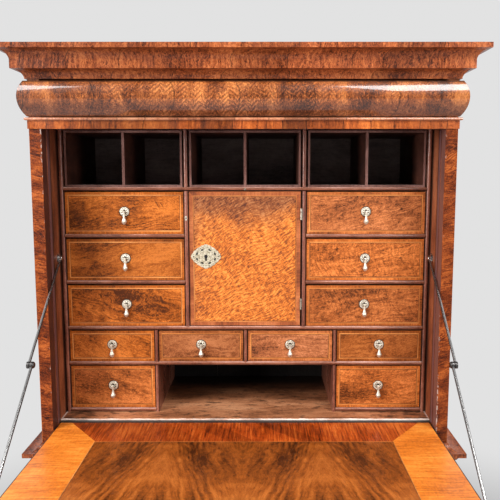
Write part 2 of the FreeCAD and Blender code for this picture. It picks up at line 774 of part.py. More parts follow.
def frieze_drawer():
    points, arcs = cushion_outline(sizes["face_gap"])
    reach = sizes["cushion_radius"]
    members = [front_run(points, arcs, half_case, front_y, reach, sizes["mitre_gap"])]
    gap = sizes["chest_gap"]
    half = half_inside - gap
    lining = sizes["chest_lining"]
    top = cushion_top_z - sizes["lining_drop"]
    start_y = front_y - sizes["face_gap"]
    inner_y = front_y + sizes["rail_depth"]
    end_y = board_back_y - sizes["frieze_room"]
    members.append(box((-half, start_y, cushion_z), (half, inner_y, cushion_top_z)))
    for left, right in mirrored_pair(half - lining, half):
        members.append(box((left, inner_y, bead_top_z), (right, end_y, top)))
    inner = half - lining
    members.append(box((-inner, end_y - lining, bead_top_z), (inner, end_y, top)))
    bottom_high = cushion_z + sizes["chest_bottom"]
    members.append(box((-inner, inner_y, cushion_z), (inner, end_y - lining, bottom_high)))
    node("frieze_drawer", members)


def fall():
    half = half_inside - sizes["fall_gap"]
    lip_y = pivot_y - fall_reach
    board_item = box((-half, lip_y, fall_under_z), (half, pivot_y + fall_tail, fall_face_z))
    plate = sizes["pivot_plate"]
    plate_low_z = pivot_z + sizes["pivot_inset"] - sizes["pivot_plate_height"] - plate
    plate_high_z = plate_low_z + sizes["pivot_plate_height"]
    plate_y = pivot_y + fall_tail - sizes["pivot_plate_length"]
    plate_back_y = pivot_y + fall_tail
    bore_radius = sizes["pivot_radius"] + sizes["running_gap"]
    reach = sizes["pivot_reach"] + sizes["fall_gap"]
    plates = []
    for left, right in mirrored_pair(half - plate, half):
        low = (left, plate_y, plate_low_z)
        high = (right, plate_back_y, plate_high_z)
        board_item = cut(board_item, box(low, high))
        hole = rod("x", (left - plate, pivot_y, pivot_z), plate * 3, bore_radius)
        plates.append(cut(box(low, high), hole))
    for start in (half - reach, -half):
        board_item = cut(board_item, rod("x", (start, pivot_y, pivot_z), reach, bore_radius))
    lock_half = sizes["lock_width"] / 2
    lock_low = (-lock_half, lip_y, fall_face_z - sizes["lock_depth"])
    lock_high = (lock_half, lip_y + sizes["lock_height"], fall_face_z)
    gap = sizes["let_in_gap"]
    recess_low = (lock_low[0] - gap, lock_low[1], lock_low[2])
    recess_high = (lock_high[0] + gap, lock_high[1] + gap, lock_high[2])
    board_item = cut(board_item, box(recess_low, recess_high))
    key_y = lip_y + sizes["fall_plate_inset"] + sizes["plate_height"] / 2
    face_up = FreeCAD.Rotation(RIGHT, 90)
    board_item = cut(board_item, keyhole(sizes["fall_board"], (ZERO, key_y, fall_under_z), face_up))
    plate_under_z = fall_under_z - sizes["plate_thickness"]
    hole = keyhole(sizes["plate_thickness"], (ZERO, key_y, plate_under_z), face_up)
    escutcheon = cut(lozenge((ZERO, key_y, fall_under_z), -BACK), hole)
    node("fall_board", [board_item])
    node("fall_lock", [box(lock_low, lock_high), escutcheon])

    lug_right = stay_lower_x - sizes["stay_eye_width"] / 2 - sizes["stay_clear"]
    lug_left = lug_right - sizes["stay_lug"]
    foot_half = sizes["stay_plate_radius"]
    eye = sizes["stay_eye"]
    plate_z = fall_face_z + sizes["stay_plate"]
    stud_length = sizes["stay_eye_width"] + sizes["stay_clear"] * 2
    for mirrored in (False, True):
        spans = {
            "plate": (lug_left - sizes["stay_lug"], lug_right + stud_length + sizes["stay_cap_width"]),
            "lug": (lug_left, lug_right),
            "stud": (lug_right, lug_right + stud_length),
            "cap": (lug_right + stud_length, lug_right + stud_length + sizes["stay_cap_width"]),
        }
        if mirrored:
            spans = {word: (-right, -left) for word, (left, right) in spans.items()}
        left, right = spans["plate"]
        low = (left, stay_foot_y - foot_half, fall_face_z)
        foot = box(low, (right, stay_foot_y + foot_half, plate_z))
        left, right = spans["lug"]
        web = box((left, stay_foot_y - eye, plate_z), (right, stay_foot_y + eye, stay_foot_z))
        round_top = rod("x", (left, stay_foot_y, stay_foot_z), right - left, eye)
        left, right = spans["stud"]
        stud = rod("x", (left, stay_foot_y, stay_foot_z), right - left, sizes["stay_stud"])
        left, right = spans["cap"]
        cap = rod("x", (left, stay_foot_y, stay_foot_z), right - left, sizes["stay_cap"])
        plates.append(fuse([foot, web, round_top, stud, cap]))
    node("fall_plates", plates)


# Stay pivots: the arms are equal and meet at the knee, midway when the fall is open.
# With the fall shut, the lower pivot comes level with the upper one and the knee hangs.
stay_upper_x = half_inside - sizes["stay_plate"] - sizes["stay_clear"] - sizes["stay_eye_width"] / 2
stay_lower_x = stay_upper_x - sizes["stay_eye_width"] - sizes["knee_gap"]
stay_head_y = front_y + sizes["stay_setback"]
stay_head_z = floor_z + sizes["stay_over_floor"]
stay_foot_y = pivot_y - (stay_head_z - pivot_z)
stay_foot_z = fall_face_z + sizes["stay_foot"]
stay_run = stay_head_y - stay_foot_y
stay_rise = stay_head_z - stay_foot_z
stay_arm = root_of(stay_run * stay_run + stay_rise * stay_rise) / 2
stay_slope = angle_of(stay_rise, stay_run)


def stay_arm_shape(knee_y):
    """A level arm from the bored eye at the origin to the knee, in the plane x = 0."""
    eye = sizes["stay_eye"]
    half = sizes["stay_eye_width"] / 2
    start_y = knee_y if knee_y.value < 0 else ZERO
    bar = rod("y", (ZERO, start_y, ZERO), stay_arm, sizes["stay_rod"])
    ends = [rod("x", (-half, along, ZERO), half * 2, eye) for along in (ZERO, knee_y)]
    bore = rod("x", (-half * 2, ZERO, ZERO), half * 4, sizes["stay_stud"] + sizes["running_gap"])
    return cut(fuse([bar] + ends), bore)


def stays():
    upper_arm = stay_arm_shape(-stay_arm)
    lower_arm = stay_arm_shape(stay_arm)
    for word, hand in (("right", 1), ("left", -1)):
        head = (stay_upper_x * hand, stay_head_y, stay_head_z)
        upper = node("stay_upper_" + word, [upper_arm], head, FreeCAD.Rotation(RIGHT, 1))
        bind(upper, "Placement.Rotation.Angle", stay_slope)
        foot = (stay_lower_x * hand, stay_foot_y, stay_foot_z)
        lower = node("stay_lower_" + word, [lower_arm], foot, FreeCAD.Rotation(RIGHT, 1))
        bind(lower, "Placement.Rotation.Angle", stay_slope)


def fall_fixings():
    """The fixed pivot pins of the fall and the fixed studs of the stays."""
    members = []
    pin_inner = half_inside - sizes["fall_gap"] - sizes["pivot_reach"]
    pin_outer = half_inside + sizes["pivot_seat"]
    for left, right in mirrored_pair(pin_inner, pin_outer):
        members.append(rod("x", (left, pivot_y, pivot_z), right - left, sizes["pivot_radius"]))
    plate_inner = half_inside - sizes["stay_plate"]
    stud_inner = stay_upper_x - sizes["stay_eye_width"] / 2
    spans = zip(mirrored_pair(plate_inner, half_inside), mirrored_pair(stud_inner, plate_inner))
    radii = (sizes["stay_plate_radius"], sizes["stay_stud"])
    for plate_and_stud in spans:
        rods = [rod("x", (left, stay_head_y, stay_head_z), right - left, radius)
                for (left, right), radius in zip(plate_and_stud, radii)]
        members.append(fuse(rods))
    node("fall_fixings", members)


def keyhole(length, point, rotation=None):
    """The tool that cuts a keyhole along the local y axis, with its slot towards -z."""
    half = sizes["keyhole_slot"] / 2
    eye = rod("y", ORIGIN, length, sizes["keyhole_radius"])
    slot = box((-half, ZERO, -sizes["keyhole_drop"]), (half, length, ZERO))
    return group([fuse([eye, slot])], point, rotation)


def lozenge(point, upward):
    """An escutcheon plate with bowed edges, which stands out from the given point."""
    half_width = sizes["plate_width"] / 2
    half_height = sizes["plate_height"] / 2
    corners = [(-half_width, ZERO), (ZERO, -half_height), (half_width, ZERO), (ZERO, half_height)]
    arcs = {index: (sizes["plate_bow"], True) for index in range(len(corners))}
    return extrude(outline(corners, arcs, (RIGHT, upward)), point, sizes["plate_thickness"])


def door():
    gap = sizes["door_gap"]
    face_y = small_front_y
    back = face_y + sizes["door_board"]
    left = gap - sizes["door_half"]
    right = sizes["door_half"] - sizes["hinge_gap"]
    key_x = left + sizes["plate_inset"] + sizes["plate_width"] / 2
    key_z = (stack_z + stack_top_z) / 2 + sizes["door_key_rise"]
    plate_y = face_y - sizes["plate_thickness"]
    panel = box((left, face_y, door_low_z), (right, back, door_high_z))
    node("door_panel", [cut(panel, keyhole(sizes["door_board"], (key_x, face_y, key_z)))])
    hole = keyhole(sizes["plate_thickness"], (key_x, plate_y, key_z))
    node("door_escutcheon", [cut(lozenge((key_x, face_y, key_z), UP), hole)])

    case_half = sizes["door_lock_height"] / 2
    case_low = (left + gap, back, key_z - case_half)
    case_high = (left + gap + sizes["door_lock_width"], back + sizes["door_lock_depth"], key_z + case_half)
    node("door_lock", [box(case_low, case_high)])

    third = sizes["hinge_height"] / 3
    leaf = sizes["hinge_leaf"]
    barrel_gap = sizes["barrel_gap"]
    leaf_back = face_y + sizes["hinge_width"]
    fixed = []
    moving = []
    for middle in hinge_middles:
        start = middle - third * 1.5
        end = middle + third * 1.5
        knuckles = [rod("z", (hinge_x, hinge_y, foot), third, sizes["hinge_barrel"])
                    for foot in (start, end - third)]
        pin = rod("z", (hinge_x, hinge_y, start), third * 3, sizes["hinge_pin"])
        flaps = [box((sizes["door_half"] - leaf, hinge_y, foot), (sizes["door_half"], leaf_back, foot + third))
                 for foot in (start, end - third)]
        fixed.append(fuse(knuckles + [pin] + flaps))
        swing_low = start + third + barrel_gap
        swing_height = third - barrel_gap * 2
        barrel = rod("z", (hinge_x, hinge_y, swing_low), swing_height, sizes["hinge_barrel"])
        flap = box((right, hinge_y, swing_low), (right + leaf, leaf_back, swing_low + swing_height))
        bore = rod("z", (hinge_x, hinge_y, start), third * 3, sizes["hinge_pin"] + sizes["running_gap"])
        moving.append(cut(fuse([barrel, flap]), bore))
    node("door_fixings", fixed + [stop_pin()])
    node("door_hinges", moving)


# Lower case, set out from the ground up.
half_lower = half_case + sizes["lower_step"]
half_chest = half_lower - sizes["lower_side"]
lower_front_y = front_y - sizes["lower_step"]
lower_foot_z = sizes["foot_height"]
lower_top_z = upper_foot_z
plank = sizes["lower_board"]
chest_low_z = lower_foot_z + plank
chest_high_z = lower_top_z - plank
short_z = chest_high_z - sizes["row_short"]
upper_long_z = short_z - plank - sizes["row_upper"]
lower_long_high_z = upper_long_z - plank
half_muntin = sizes["muntin_width"] / 2


def lower_case():
    members = []
    for left, right in mirrored_pair(half_chest, half_lower):
        members.append(box((left, lower_front_y, lower_foot_z), (right, back_y, lower_top_z)))
    for low in (lower_foot_z, chest_high_z):
        members.append(box((-half_chest, lower_front_y, low), (half_chest, board_back_y, low + plank)))
    rail_back_y = lower_front_y + sizes["rail_width"]
    for low in (lower_long_high_z, short_z - plank):
        members.append(box((-half_chest, lower_front_y, low), (half_chest, rail_back_y, low + plank)))
        runner_low = low + plank - sizes["runner_height"]
        for left, right in mirrored_pair(half_chest - sizes["runner_width"], half_chest):
            members.append(box((left, rail_back_y, runner_low), (right, board_back_y, low + plank)))
    muntin_low = (-half_muntin, lower_front_y, short_z)
    members.append(box(muntin_low, (half_muntin, rail_back_y, chest_high_z)))
    node("lower_case", members)


def waist_moulding():
    """A moulding on the lower case that keeps the foot of the upper case in place."""
    top_z = fall_under_z - sizes["waist_gap"]
    reach = sizes["waist_reach"]
    edge_low_z = top_z - sizes["waist_height"] / 2 - sizes["waist_edge"] / 2
    edge_high_z = edge_low_z + sizes["waist_edge"]
    foot_z = top_z - sizes["waist_height"]
    seat = sizes["lower_step"]
    points = [
        (ZERO, upper_foot_z),
        (seat, upper_foot_z),
        (seat, foot_z),
        (seat + sizes["waist_flat"], foot_z),
        (reach, edge_low_z),
        (reach, edge_high_z),
        (sizes["waist_flat"], top_z),
        (ZERO, top_z),
    ]
    arcs = {3: (sizes["waist_under"], False), 5: (sizes["waist_cove"], False)}
    node("waist_moulding", moulding(points, arcs, half_case, front_y, back_y, reach))


def base_moulding():
    reach = sizes["base_reach"]
    low_z = lower_foot_z - sizes["base_drop"]
    plinth_z = low_z + sizes["base_plinth"]
    top_z = chest_low_z - sizes["base_gap"]
    points = [
        (ZERO, low_z),
        (reach, low_z),
        (reach, plinth_z),
        (sizes["base_flat"], top_z),
        (ZERO, top_z),
    ]
    arcs = {2: (sizes["base_round"], False)}
    node("base_moulding", moulding(points, arcs, half_lower, lower_front_y, back_y, reach))


def bun_feet():
    neck_z = sizes["foot_height"] - sizes["foot_neck_height"]
    middle_z = neck_z / 2
    points = [
        (ZERO, ZERO),
        (sizes["foot_pad"], ZERO),
        (sizes["foot_radius"], middle_z),
        (sizes["foot_neck"], neck_z),
        (sizes["foot_neck"], sizes["foot_height"]),
        (ZERO, sizes["foot_height"]),
    ]
    bulge = sizes["foot_bulge"]
    foot = turn_up(outline(points, {1: (bulge, True), 2: (bulge, True)}, (RIGHT, UP)))
    inset = sizes["foot_inset"]
    members = []
    for across in (half_lower - inset, inset - half_lower):
        for along in (lower_front_y + inset, back_y - inset):
            members.append(group([foot], (across, along, ZERO)))
    node("bun_feet", members)


def chest_drawers():
    gap = sizes["chest_gap"]
    short_width = half_chest - half_muntin
    short_x = half_muntin + short_width / 2
    long_x = sizes["chest_handle"]
    depth = board_back_y - sizes["chest_room"] - lower_front_y
    rows = [
        ("short_left", -short_x, short_width, short_z, sizes["row_short"], {"": ZERO}),
        ("short_right", short_x, short_width, short_z, sizes["row_short"], {"": ZERO}),
        ("long_upper", ZERO, half_chest * 2, upper_long_z, sizes["row_upper"],
         {"_left": -long_x, "_right": long_x}),
        ("long_lower", ZERO, half_chest * 2, chest_low_z, lower_long_high_z - chest_low_z,
         {"_left": -long_x, "_right": long_x}),
    ]
    for word, across, opening_width, low, opening_height, handles in rows:
        width = opening_width - gap * 2
        height = opening_height - gap * 2
        members = drawer_boards(width, height, depth, sizes["chest_front"],
                                sizes["chest_lining"], sizes["chest_bottom"], sizes["lining_drop"])
        handle_z = height / 2
        for hand, offset in handles.items():
            members += handle_fixings(offset, handle_z)
            hang_drop("drop_" + word + hand, across + offset, lower_front_y, low + handle_z)
        node("drawer_" + word, members, (across, lower_front_y, low))


drop = drop_shape()
bun_feet()
base_moulding()
lower_case()
waist_moulding()
upper_case()
writing_floor()
back_boards()
cornice()
frieze_rail()
nest()
pigeonhole_boxes()
fall_fixings()
fall()
stays()
door()
frieze_drawer()
small_drawers()
chest_drawers()
doc.recompute()

faults = [item.Label for item in doc.Objects if {"Invalid", "Error"} & set(item.State)]
faults += [label for label, item in nodes.items() if item.Shape.isNull() or not item.Shape.isValid()]
if faults:
    raise RuntimeError("failed objects: " + ", ".join(faults))

os.makedirs("parts", exist_ok=True)
for label, item in nodes.items():
    item.Shape.exportStep("parts/%s.step" % label)

print("nodes", len(nodes))
print("fall pivot", pivot_y.value, pivot_z.value)
print("stay head", stay_upper_x.value, stay_head_y.value, stay_head_z.value)
print("stay foot", stay_lower_x.value, stay_foot_y.value, stay_foot_z.value)
print("stay slope", stay_slope.value, "arm", stay_arm.value)
print("door hinge", hinge_x.value, hinge_y.value)
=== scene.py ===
import json
import math
import random
from typing import NamedTuple

import bmesh
import bpy
from mathutils import Matrix, Vector


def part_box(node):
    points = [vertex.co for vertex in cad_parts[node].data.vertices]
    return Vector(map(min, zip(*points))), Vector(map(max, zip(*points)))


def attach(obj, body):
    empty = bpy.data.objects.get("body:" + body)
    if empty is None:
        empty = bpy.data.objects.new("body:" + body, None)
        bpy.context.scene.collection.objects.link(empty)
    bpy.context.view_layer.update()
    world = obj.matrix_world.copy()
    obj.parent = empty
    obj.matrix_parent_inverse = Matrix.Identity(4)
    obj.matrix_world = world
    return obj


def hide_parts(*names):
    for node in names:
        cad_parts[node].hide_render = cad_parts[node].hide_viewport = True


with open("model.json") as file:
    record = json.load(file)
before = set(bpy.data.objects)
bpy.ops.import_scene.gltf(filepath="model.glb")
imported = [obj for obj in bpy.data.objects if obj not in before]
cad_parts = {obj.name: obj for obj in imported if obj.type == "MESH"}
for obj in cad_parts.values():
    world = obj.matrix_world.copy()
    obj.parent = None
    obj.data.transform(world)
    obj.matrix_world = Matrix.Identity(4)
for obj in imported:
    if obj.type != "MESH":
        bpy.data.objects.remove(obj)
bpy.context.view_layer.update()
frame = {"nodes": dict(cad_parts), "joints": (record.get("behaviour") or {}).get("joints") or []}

# Looks of a walnut fall-front cabinet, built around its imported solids. Metres, +Z up, front
# towards -Y. Veneers, brass and iron work are meshes of their own that ride on the bodies.

nodes = frame["nodes"]

# Planes read from the frame.
case_low, case_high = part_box("upper_case")
front_y = case_low.y
back_y = case_high.y
half_case = case_high.x
half_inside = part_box("writing_floor")[1].x
floor_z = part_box("writing_floor")[1].z
rail_low, rail_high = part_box("frieze_rail")
frieze_low, frieze_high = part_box("frieze_drawer")
lower_low, lower_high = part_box("lower_case")
waist_low, waist_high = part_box("waist_moulding")
fall_low, fall_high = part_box("fall_board")
door_low, door_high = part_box("door_panel")
nest_face = door_low.y
floor_tip_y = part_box("writing_floor")[0].y
drawers = sorted(name for name in nodes if name.startswith("drawer_"))
chest_drawers = [name for name in drawers if "short" in name or "long" in name]
small_drawers = [name for name in drawers if name not in chest_drawers]
drops = sorted(name for name in nodes if name.startswith("drop_"))
pivots = {joint["child"]: Vector(joint["pos_m"]) for joint in frame["joints"] if "pos_m" in joint}

MM = 0.001
VENEER = 0.8 * MM
HAIR = 0.1 * MM
RIGHT = Vector((1, 0, 0))
BACK = Vector((0, 1, 0))
UP = Vector((0, 0, 1))
SIDES = {"left": -1, "right": 1}


# Node trees

class Signal:
    """An output in a shader tree: a number, a vector or a colour that further nodes are made from."""

    def __init__(self, tree, socket):
        self.tree = tree
        self.socket = socket

    def node(self, kind, inputs, output=0, **props):
        """An output of a new node in the same tree."""
        return Signal(self.tree, add(self.tree, kind, inputs, **props).outputs[output])

    def math(self, operation, other=0):
        return self.node("Math", {0: self, 1: other}, operation=operation)

    def __add__(self, other):
        return self.math("ADD", other)

    def __sub__(self, other):
        return self.math("SUBTRACT", other)

    def __mul__(self, other):
        return self.math("MULTIPLY", other)

    def size(self):
        return self.math("ABSOLUTE")

    def larger(self, other):
        return self.math("MAXIMUM", other)

    def centred(self, weight):
        """A noise value taken about its middle, times a weight."""
        return (self - 0.5) * weight

    def past(self, plane):
        """How far a coordinate lies past a plane, in millimetres."""
        return (self - plane) * (1 / MM)

    def remap(self, low, high, to_low=0, to_high=1, smooth=False):
        limits = {"Value": self, "From Min": low, "From Max": high, "To Min": to_low, "To Max": to_high}
        course = "SMOOTHSTEP" if smooth else "LINEAR"
        return self.node("MapRange", limits, "Result", interpolation_type=course, clamp=True)

    def between(self, first, second, blend="MIX"):
        """A colour that goes from the first to the second as this number goes from 0 to 1."""
        inputs = {0: self, 6: first, 7: second}
        return self.node("Mix", inputs, 2, data_type="RGBA", blend_type=blend)

    def bumped(self, strength, distance):
        """A normal that follows this number as a height."""
        return self.node("Bump", {"Height": self, "Strength": strength, "Distance": distance})

    def vector_math(self, operation, other):
        return self.node("VectorMath", {0: self, 1: other}, operation=operation)

    def scaled(self, factor):
        return self.node("VectorMath", {0: self, "Scale": factor}, operation="SCALE")

    def length(self):
        return self.node("VectorMath", {0: self}, "Value", operation="LENGTH")

    def noise(self, scale, detail=2, rough=0.5, distort=0, output="Fac"):
        """A noise value, with its own scale along each axis."""
        inputs = {"Vector": self.vector_math("MULTIPLY", scale), "Scale": 1, "Detail": detail,
                  "Roughness": rough, "Distortion": distort}
        return self.node("TexNoise", inputs, output)

    def parts(self, axes):
        """The parts of a vector along the axes named, as in XZ."""
        split = add(self.tree, "SeparateXYZ", {0: self}).outputs
        return [Signal(self.tree, split[axis]) for axis in axes]

    def as_vector(self, second, third):
        """The vector that has this number and two more as its parts."""
        return self.node("CombineXYZ", {0: self, 1: second, 2: third})


def fill(tree, item, inputs):
    """Links each input that is given as a signal, and sets any other."""
    for name, value in inputs.items():
        if isinstance(value, Signal):
            tree.links.new(value.socket, item.inputs[name])
        else:
            item.inputs[name].default_value = value


def add(tree, kind, inputs, **props):
    """A new node; its kind is said without the ShaderNode that all kinds start with."""
    item = tree.nodes.new("ShaderNode" + kind)
    for name, value in props.items():
        setattr(item, name, value)
    fill(tree, item, inputs)
    return item


def rgb(red, green, blue):
    """A colour from its linear parts, in hundredths."""
    return (red / 100, green / 100, blue / 100, 1)


def place_of(tree):
    """The place in the frame, which is the same as in the part at rest."""
    return Signal(tree, add(tree, "TexCoord", {}).outputs["Object"])


looks = {}


def new_material(name):
    looks[name] = bpy.data.materials.new(name)
    looks[name].use_nodes = True
    tree = looks[name].node_tree
    return tree, tree.nodes["Principled BSDF"]


# Wood

# How strongly each part of the figure shows in a wood that doesn't say otherwise.
FIGURE = {"figure": 0.3, "streak": 1, "mottle": 1, "ripple": 0.3, "curl": 0.6, "knots": 0, "bend": 1}
GRAIN_AXES = {"x": "XYZ", "y": "YXZ", "z": "ZXY"}
WOOD_BUMP = 0.25
WOOD_BUMP_HEIGHT = 2 * MM
METAL_BUMP_HEIGHT = 0.4 * MM


def sway(vector, scale, reach, bend):
    """The vector pushed about by a smooth noise, as far as bend says."""
    push = vector.noise(scale, output="Color").vector_math("SUBTRACT", (0.5, 0.5, 0.5))
    return vector.vector_math("ADD", push.vector_math("MULTIPLY", reach).scaled(bend))


def wood_group():
    """Walnut figure: x of the vector runs along the grain, in metres."""
    tree = bpy.data.node_groups.new("walnut_figure", "ShaderNodeTree")
    inputs = {"vector": "Vector", "dark": "Color", "middle": "Color", "light": "Color"}
    inputs.update(dict.fromkeys(FIGURE, "Float"))
    for way, sockets in (("INPUT", inputs), ("OUTPUT", {"colour": "Color", "height": "Float"})):
        for name, kind in sockets.items():
            tree.interface.new_socket(name, in_out=way, socket_type="NodeSocket" + kind)
    outputs = tree.nodes.new("NodeGroupInput").outputs
    given = {name: Signal(tree, outputs[name]) for name in inputs}

    slow = sway(given["vector"], (3, 6, 6), (0.1, 0.09, 0.05), given["bend"])
    warped = sway(slow, (22, 30, 30), (0.01, 0.012, 0.008), given["bend"])

    # Knots: a dark heart here and there, with the growth rings running round it.
    places = {"Vector": warped.vector_math("MULTIPLY", (6, 10, 10)), "Scale": 1}
    cells = add(tree, "TexVoronoi", places).outputs
    chance = Signal(tree, cells["Color"]).parts("X")[0]
    distance = Signal(tree, cells["Distance"])
    chosen = chance.math("GREATER_THAN", 0.55) * given["knots"]
    swirl = distance.remap(0, 0.5, 1, 0, True) * chosen
    heart = distance.remap(0.015, 0.075, 1, 0, True) * chosen

    # Growth rings are the contour lines of a smooth field that is drawn out along the grain.
    field = warped.noise((3.5, 13, 9), rough=0.45)
    shown = warped.noise((5, 9, 9), detail=1).remap(0.36, 0.6, 0.25, 1)
    rings = (field * 95 + swirl * 24).math("SINE") * shown * given["figure"]
    streak = warped.noise((11, 190, 190), detail=3, rough=0.7).centred(given["streak"])
    mottle = slow.noise((5, 11, 11), detail=2.5, rough=0.55).centred(given["mottle"])
    ripple = warped.noise((170, 44, 44), rough=0.6).centred(given["ripple"])
    curl = warped.noise((95, 200, 200), detail=3, rough=0.68, distort=1.6).centred(given["curl"])
    fleck = warped.noise((60, 420, 420), rough=0.6).remap(0.56, 0.7)

    total = rings * 0.16 + 0.5 + streak + mottle * 2.2 + ripple + curl * 1.3
    total = total - heart * 0.75 - swirl * 0.16 - fleck * 0.18
    lower = total.remap(0, 0.5).between(given["dark"], given["middle"])
    colour = total.remap(0.5, 1).between(lower, given["light"])
    pores = warped.noise((260, 2600, 2600), detail=1).remap(0.6, 0.68)
    colour = (pores * 0.45).between(colour, given["dark"])
    swell = given["vector"].noise((12, 22, 22), detail=1)
    height = swell * 0.7 + streak * 0.06 - pores * 0.03
    fill(tree, tree.nodes.new("NodeGroupOutput"), {"colour": colour, "height": height})
    return tree


walnut = wood_group()


def grain_of(tree, along):
    """The place along the grain: on a sheet of veneer, or in a solid with its grain along an axis."""
    if along == "sheet":
        return Signal(tree, add(tree, "UVMap", {}, uv_map="grain").outputs[0])
    first, second, third = place_of(tree).parts(GRAIN_AXES[along])
    return first.as_vector(second, third)


def wood(name, along, dark, middle, light, fine=1, rough=0.38, coat=0.1, gloss=0.16, shine=0.35, wear=None,
         **figure):
    """A waxed wood. along is x, y or z for a solid, or sheet for a veneer."""
    tree, shader = new_material(name)
    vector = grain_of(tree, along).scaled(fine)
    inputs = {"vector": vector, "dark": rgb(*dark), "middle": rgb(*middle), "light": rgb(*light)}
    grain = add(tree, "Group", {**inputs, **FIGURE, **figure}, node_tree=walnut)
    colour = Signal(tree, grain.outputs["colour"])
    smear = vector.noise((14, 26, 26), detail=3)
    fill(tree, shader, {
        "Base Color": wear(colour, place_of(tree)) if wear else colour,
        "Roughness": smear.remap(0.3, 0.7, rough - 0.07, rough + 0.1),
        "Specular IOR Level": shine,
        "Coat Weight": coat,
        "Coat Roughness": gloss,
        "Normal": Signal(tree, grain.outputs["height"]).bumped(WOOD_BUMP, WOOD_BUMP_HEIGHT),
    })


def metal(name, bright, dull, rough, scale=260, spots=0.7, metallic=1, grit=0.12):
    """A worn metal: polish on the open places and a dull film in patches."""
    tree, shader = new_material(name)
    place = place_of(tree)
    film = place.noise((scale, scale, scale), detail=4, rough=0.65)
    film = film.remap(0.42, 0.42 + 0.4 * spots, smooth=True)
    fill(tree, shader, {
        "Base Color": film.between(rgb(*bright), rgb(*dull)),
        "Roughness": film.remap(0, 1, rough, rough + 0.25),
        "Metallic": metallic,
        "Normal": place.noise((1700, 1700, 1700)).bumped(grit, METAL_BUMP_HEIGHT),
    })


CLEAR_WALNUT = ((7.5, 1.7, 0.3), (44, 10.8, 1.4), (80, 23.5, 4))
MAUVE_WALNUT = ((8.5, 2.8, 1.4), (36, 12.5, 5.5), (62, 27, 14))


def veneer_of(name, tone, mauve_share=0, **options):
    """Walnut veneer. A tone of 1 is a clear golden brown and less is darker; mauve_share goes from 0 to 1,
    towards a pale mauve brown.
    """
    colours = []
    for clear, pale in zip(CLEAR_WALNUT, MAUVE_WALNUT):
        colours.append([tone * (a + (b - a) * mauve_share) for a, b in zip(clear, pale)])
    wood(name, "sheet", *colours, **options)


# Colour changes: each of these changes a wood's colour from place to place: rubbing, stains, marks and
# joints, and for the reveal, the cushion, the writing floor and the door also painted shade and highlights.

BACK_BOARD_COUNT = 5
BACK_LAP = 8 * MM
CHEVRON = 17 * MM
CHEVRON_LINES = 11.5 * MM


def floor_wear_and_painted_light(colour, place):
    """Grime in patches towards the floor's ends; a pale rubbed nose with a painted highlight along it, paler
    ends, painted shadow under the nose, and painted shade deepening towards the back.
    """
    across, depth = place.parts("XY")
    end = across.size().past(half_inside)
    depth = depth.past(floor_tip_y)
    scuff = place.noise((34, 60, 60), detail=5, rough=0.7)
    grime = (scuff - end.remap(-160, -20, 0, 0.12)).remap(0.47, 0.34, 0, 0.8)
    colour = grime.between(colour, rgb(3, 1.5, 1))
    # Pale from rubbing along the nose, and partly a painted highlight there.
    wear_and_highlight = place.noise((19, 30, 30), detail=4, rough=0.65).remap(0.36, 0.6, 0.34, 0.92)
    nose = (depth + scuff.centred(9)).remap(6, 8.5, 1, 0, True) * wear_and_highlight
    pale_ends = end.remap(-5, -2) * scuff.remap(0.42, 0.56, 0, 0.6)
    colour = nose.larger(pale_ends).between(colour, rgb(92, 78, 69))
    # Painted shadow under the nose.
    colour = depth.remap(2.6, 3.8, 0.95, 0).between(colour, rgb(1, 0.6, 0.4))
    # Painted shade that deepens towards the back of the floor, under the nest.
    deep = depth.remap(170, (back_y - floor_tip_y) / MM - 60, 0, 0.97, True)
    return deep.between(colour, rgb(0.8, 0.5, 0.4))


def door_shade(colour, place):
    """Darker, greyer wood along the top and the left of the door, in patches."""
    across, height = place.parts("XZ")
    patch = place.noise((12, 12, 17), detail=4, rough=0.6)
    top = height.past(door_high.z).remap(-150, -30, 0, 1.1)
    left = across.past(door_low.x).remap(10, 90, 0.7, 0)
    amount = (top.larger(left) + patch.centred(1.6)).remap(0.16, 1.16, 0, 0.95, True)
    return amount.between(colour, rgb(42, 49, 105), "MULTIPLY")


def stile_wear(colour, place):
    """Small pale chips on the inner edges of the stiles: high up on the left and low down on the right."""
    across, height = place.parts("XZ")
    rise = height.past((case_low.z + case_high.z) / 2) * across.math("SIGN")
    inner = across.size().past(half_inside).remap(1, 4, 1, 0)
    chip = place.noise((190, 190, 120), detail=3, rough=0.6) - rise.remap(-330, -20, 0, 0.12)
    return (chip.remap(0.53, 0.6, 0, 0.85) * inner).between(colour, rgb(52, 42, 37))


def reveal_shade_and_highlight(colour, place):
    """Painted shade before the stop beads in the case, darker on the left, a painted highlight on the beads,
    and painted shadow behind them and by the nest.
    """
    across, depth, height = place.parts("XYZ")
    side = across.size().past(half_inside)
    depth = depth.past(front_y)
    within = side.remap(1, 2, 1, 0) * height.past(rail_high.z).remap(0, 5, 1, 0)
    # Painted shade before the beads, darker on the left side than on the right.
    before = depth.remap(32, 33.5, 0.9, 0) * within
    side_shade = across.math("GREATER_THAN").between(rgb(5, 1.4, 1), rgb(15, 6.2, 5))
    colour = before.between(colour, side_shade)
    # A painted highlight along the nose of each bead.
    bead = side.remap(-1.6, -0.8, 0.9, 0) * within * depth.remap(60, 62, 1, 0)
    colour = bead.between(colour, rgb(12.5, 5.6, 5.8))
    # Painted shadow behind the beads and in the gap by the nest's end posts.
    behind = depth.remap(47, 49) * depth.remap(58, 64, 0.85, 0)
    beside = depth.remap(100, 108, 0, 0.9)
    return (behind.larger(beside) * within).between(colour, rgb(1.4, 0.6, 0.4))


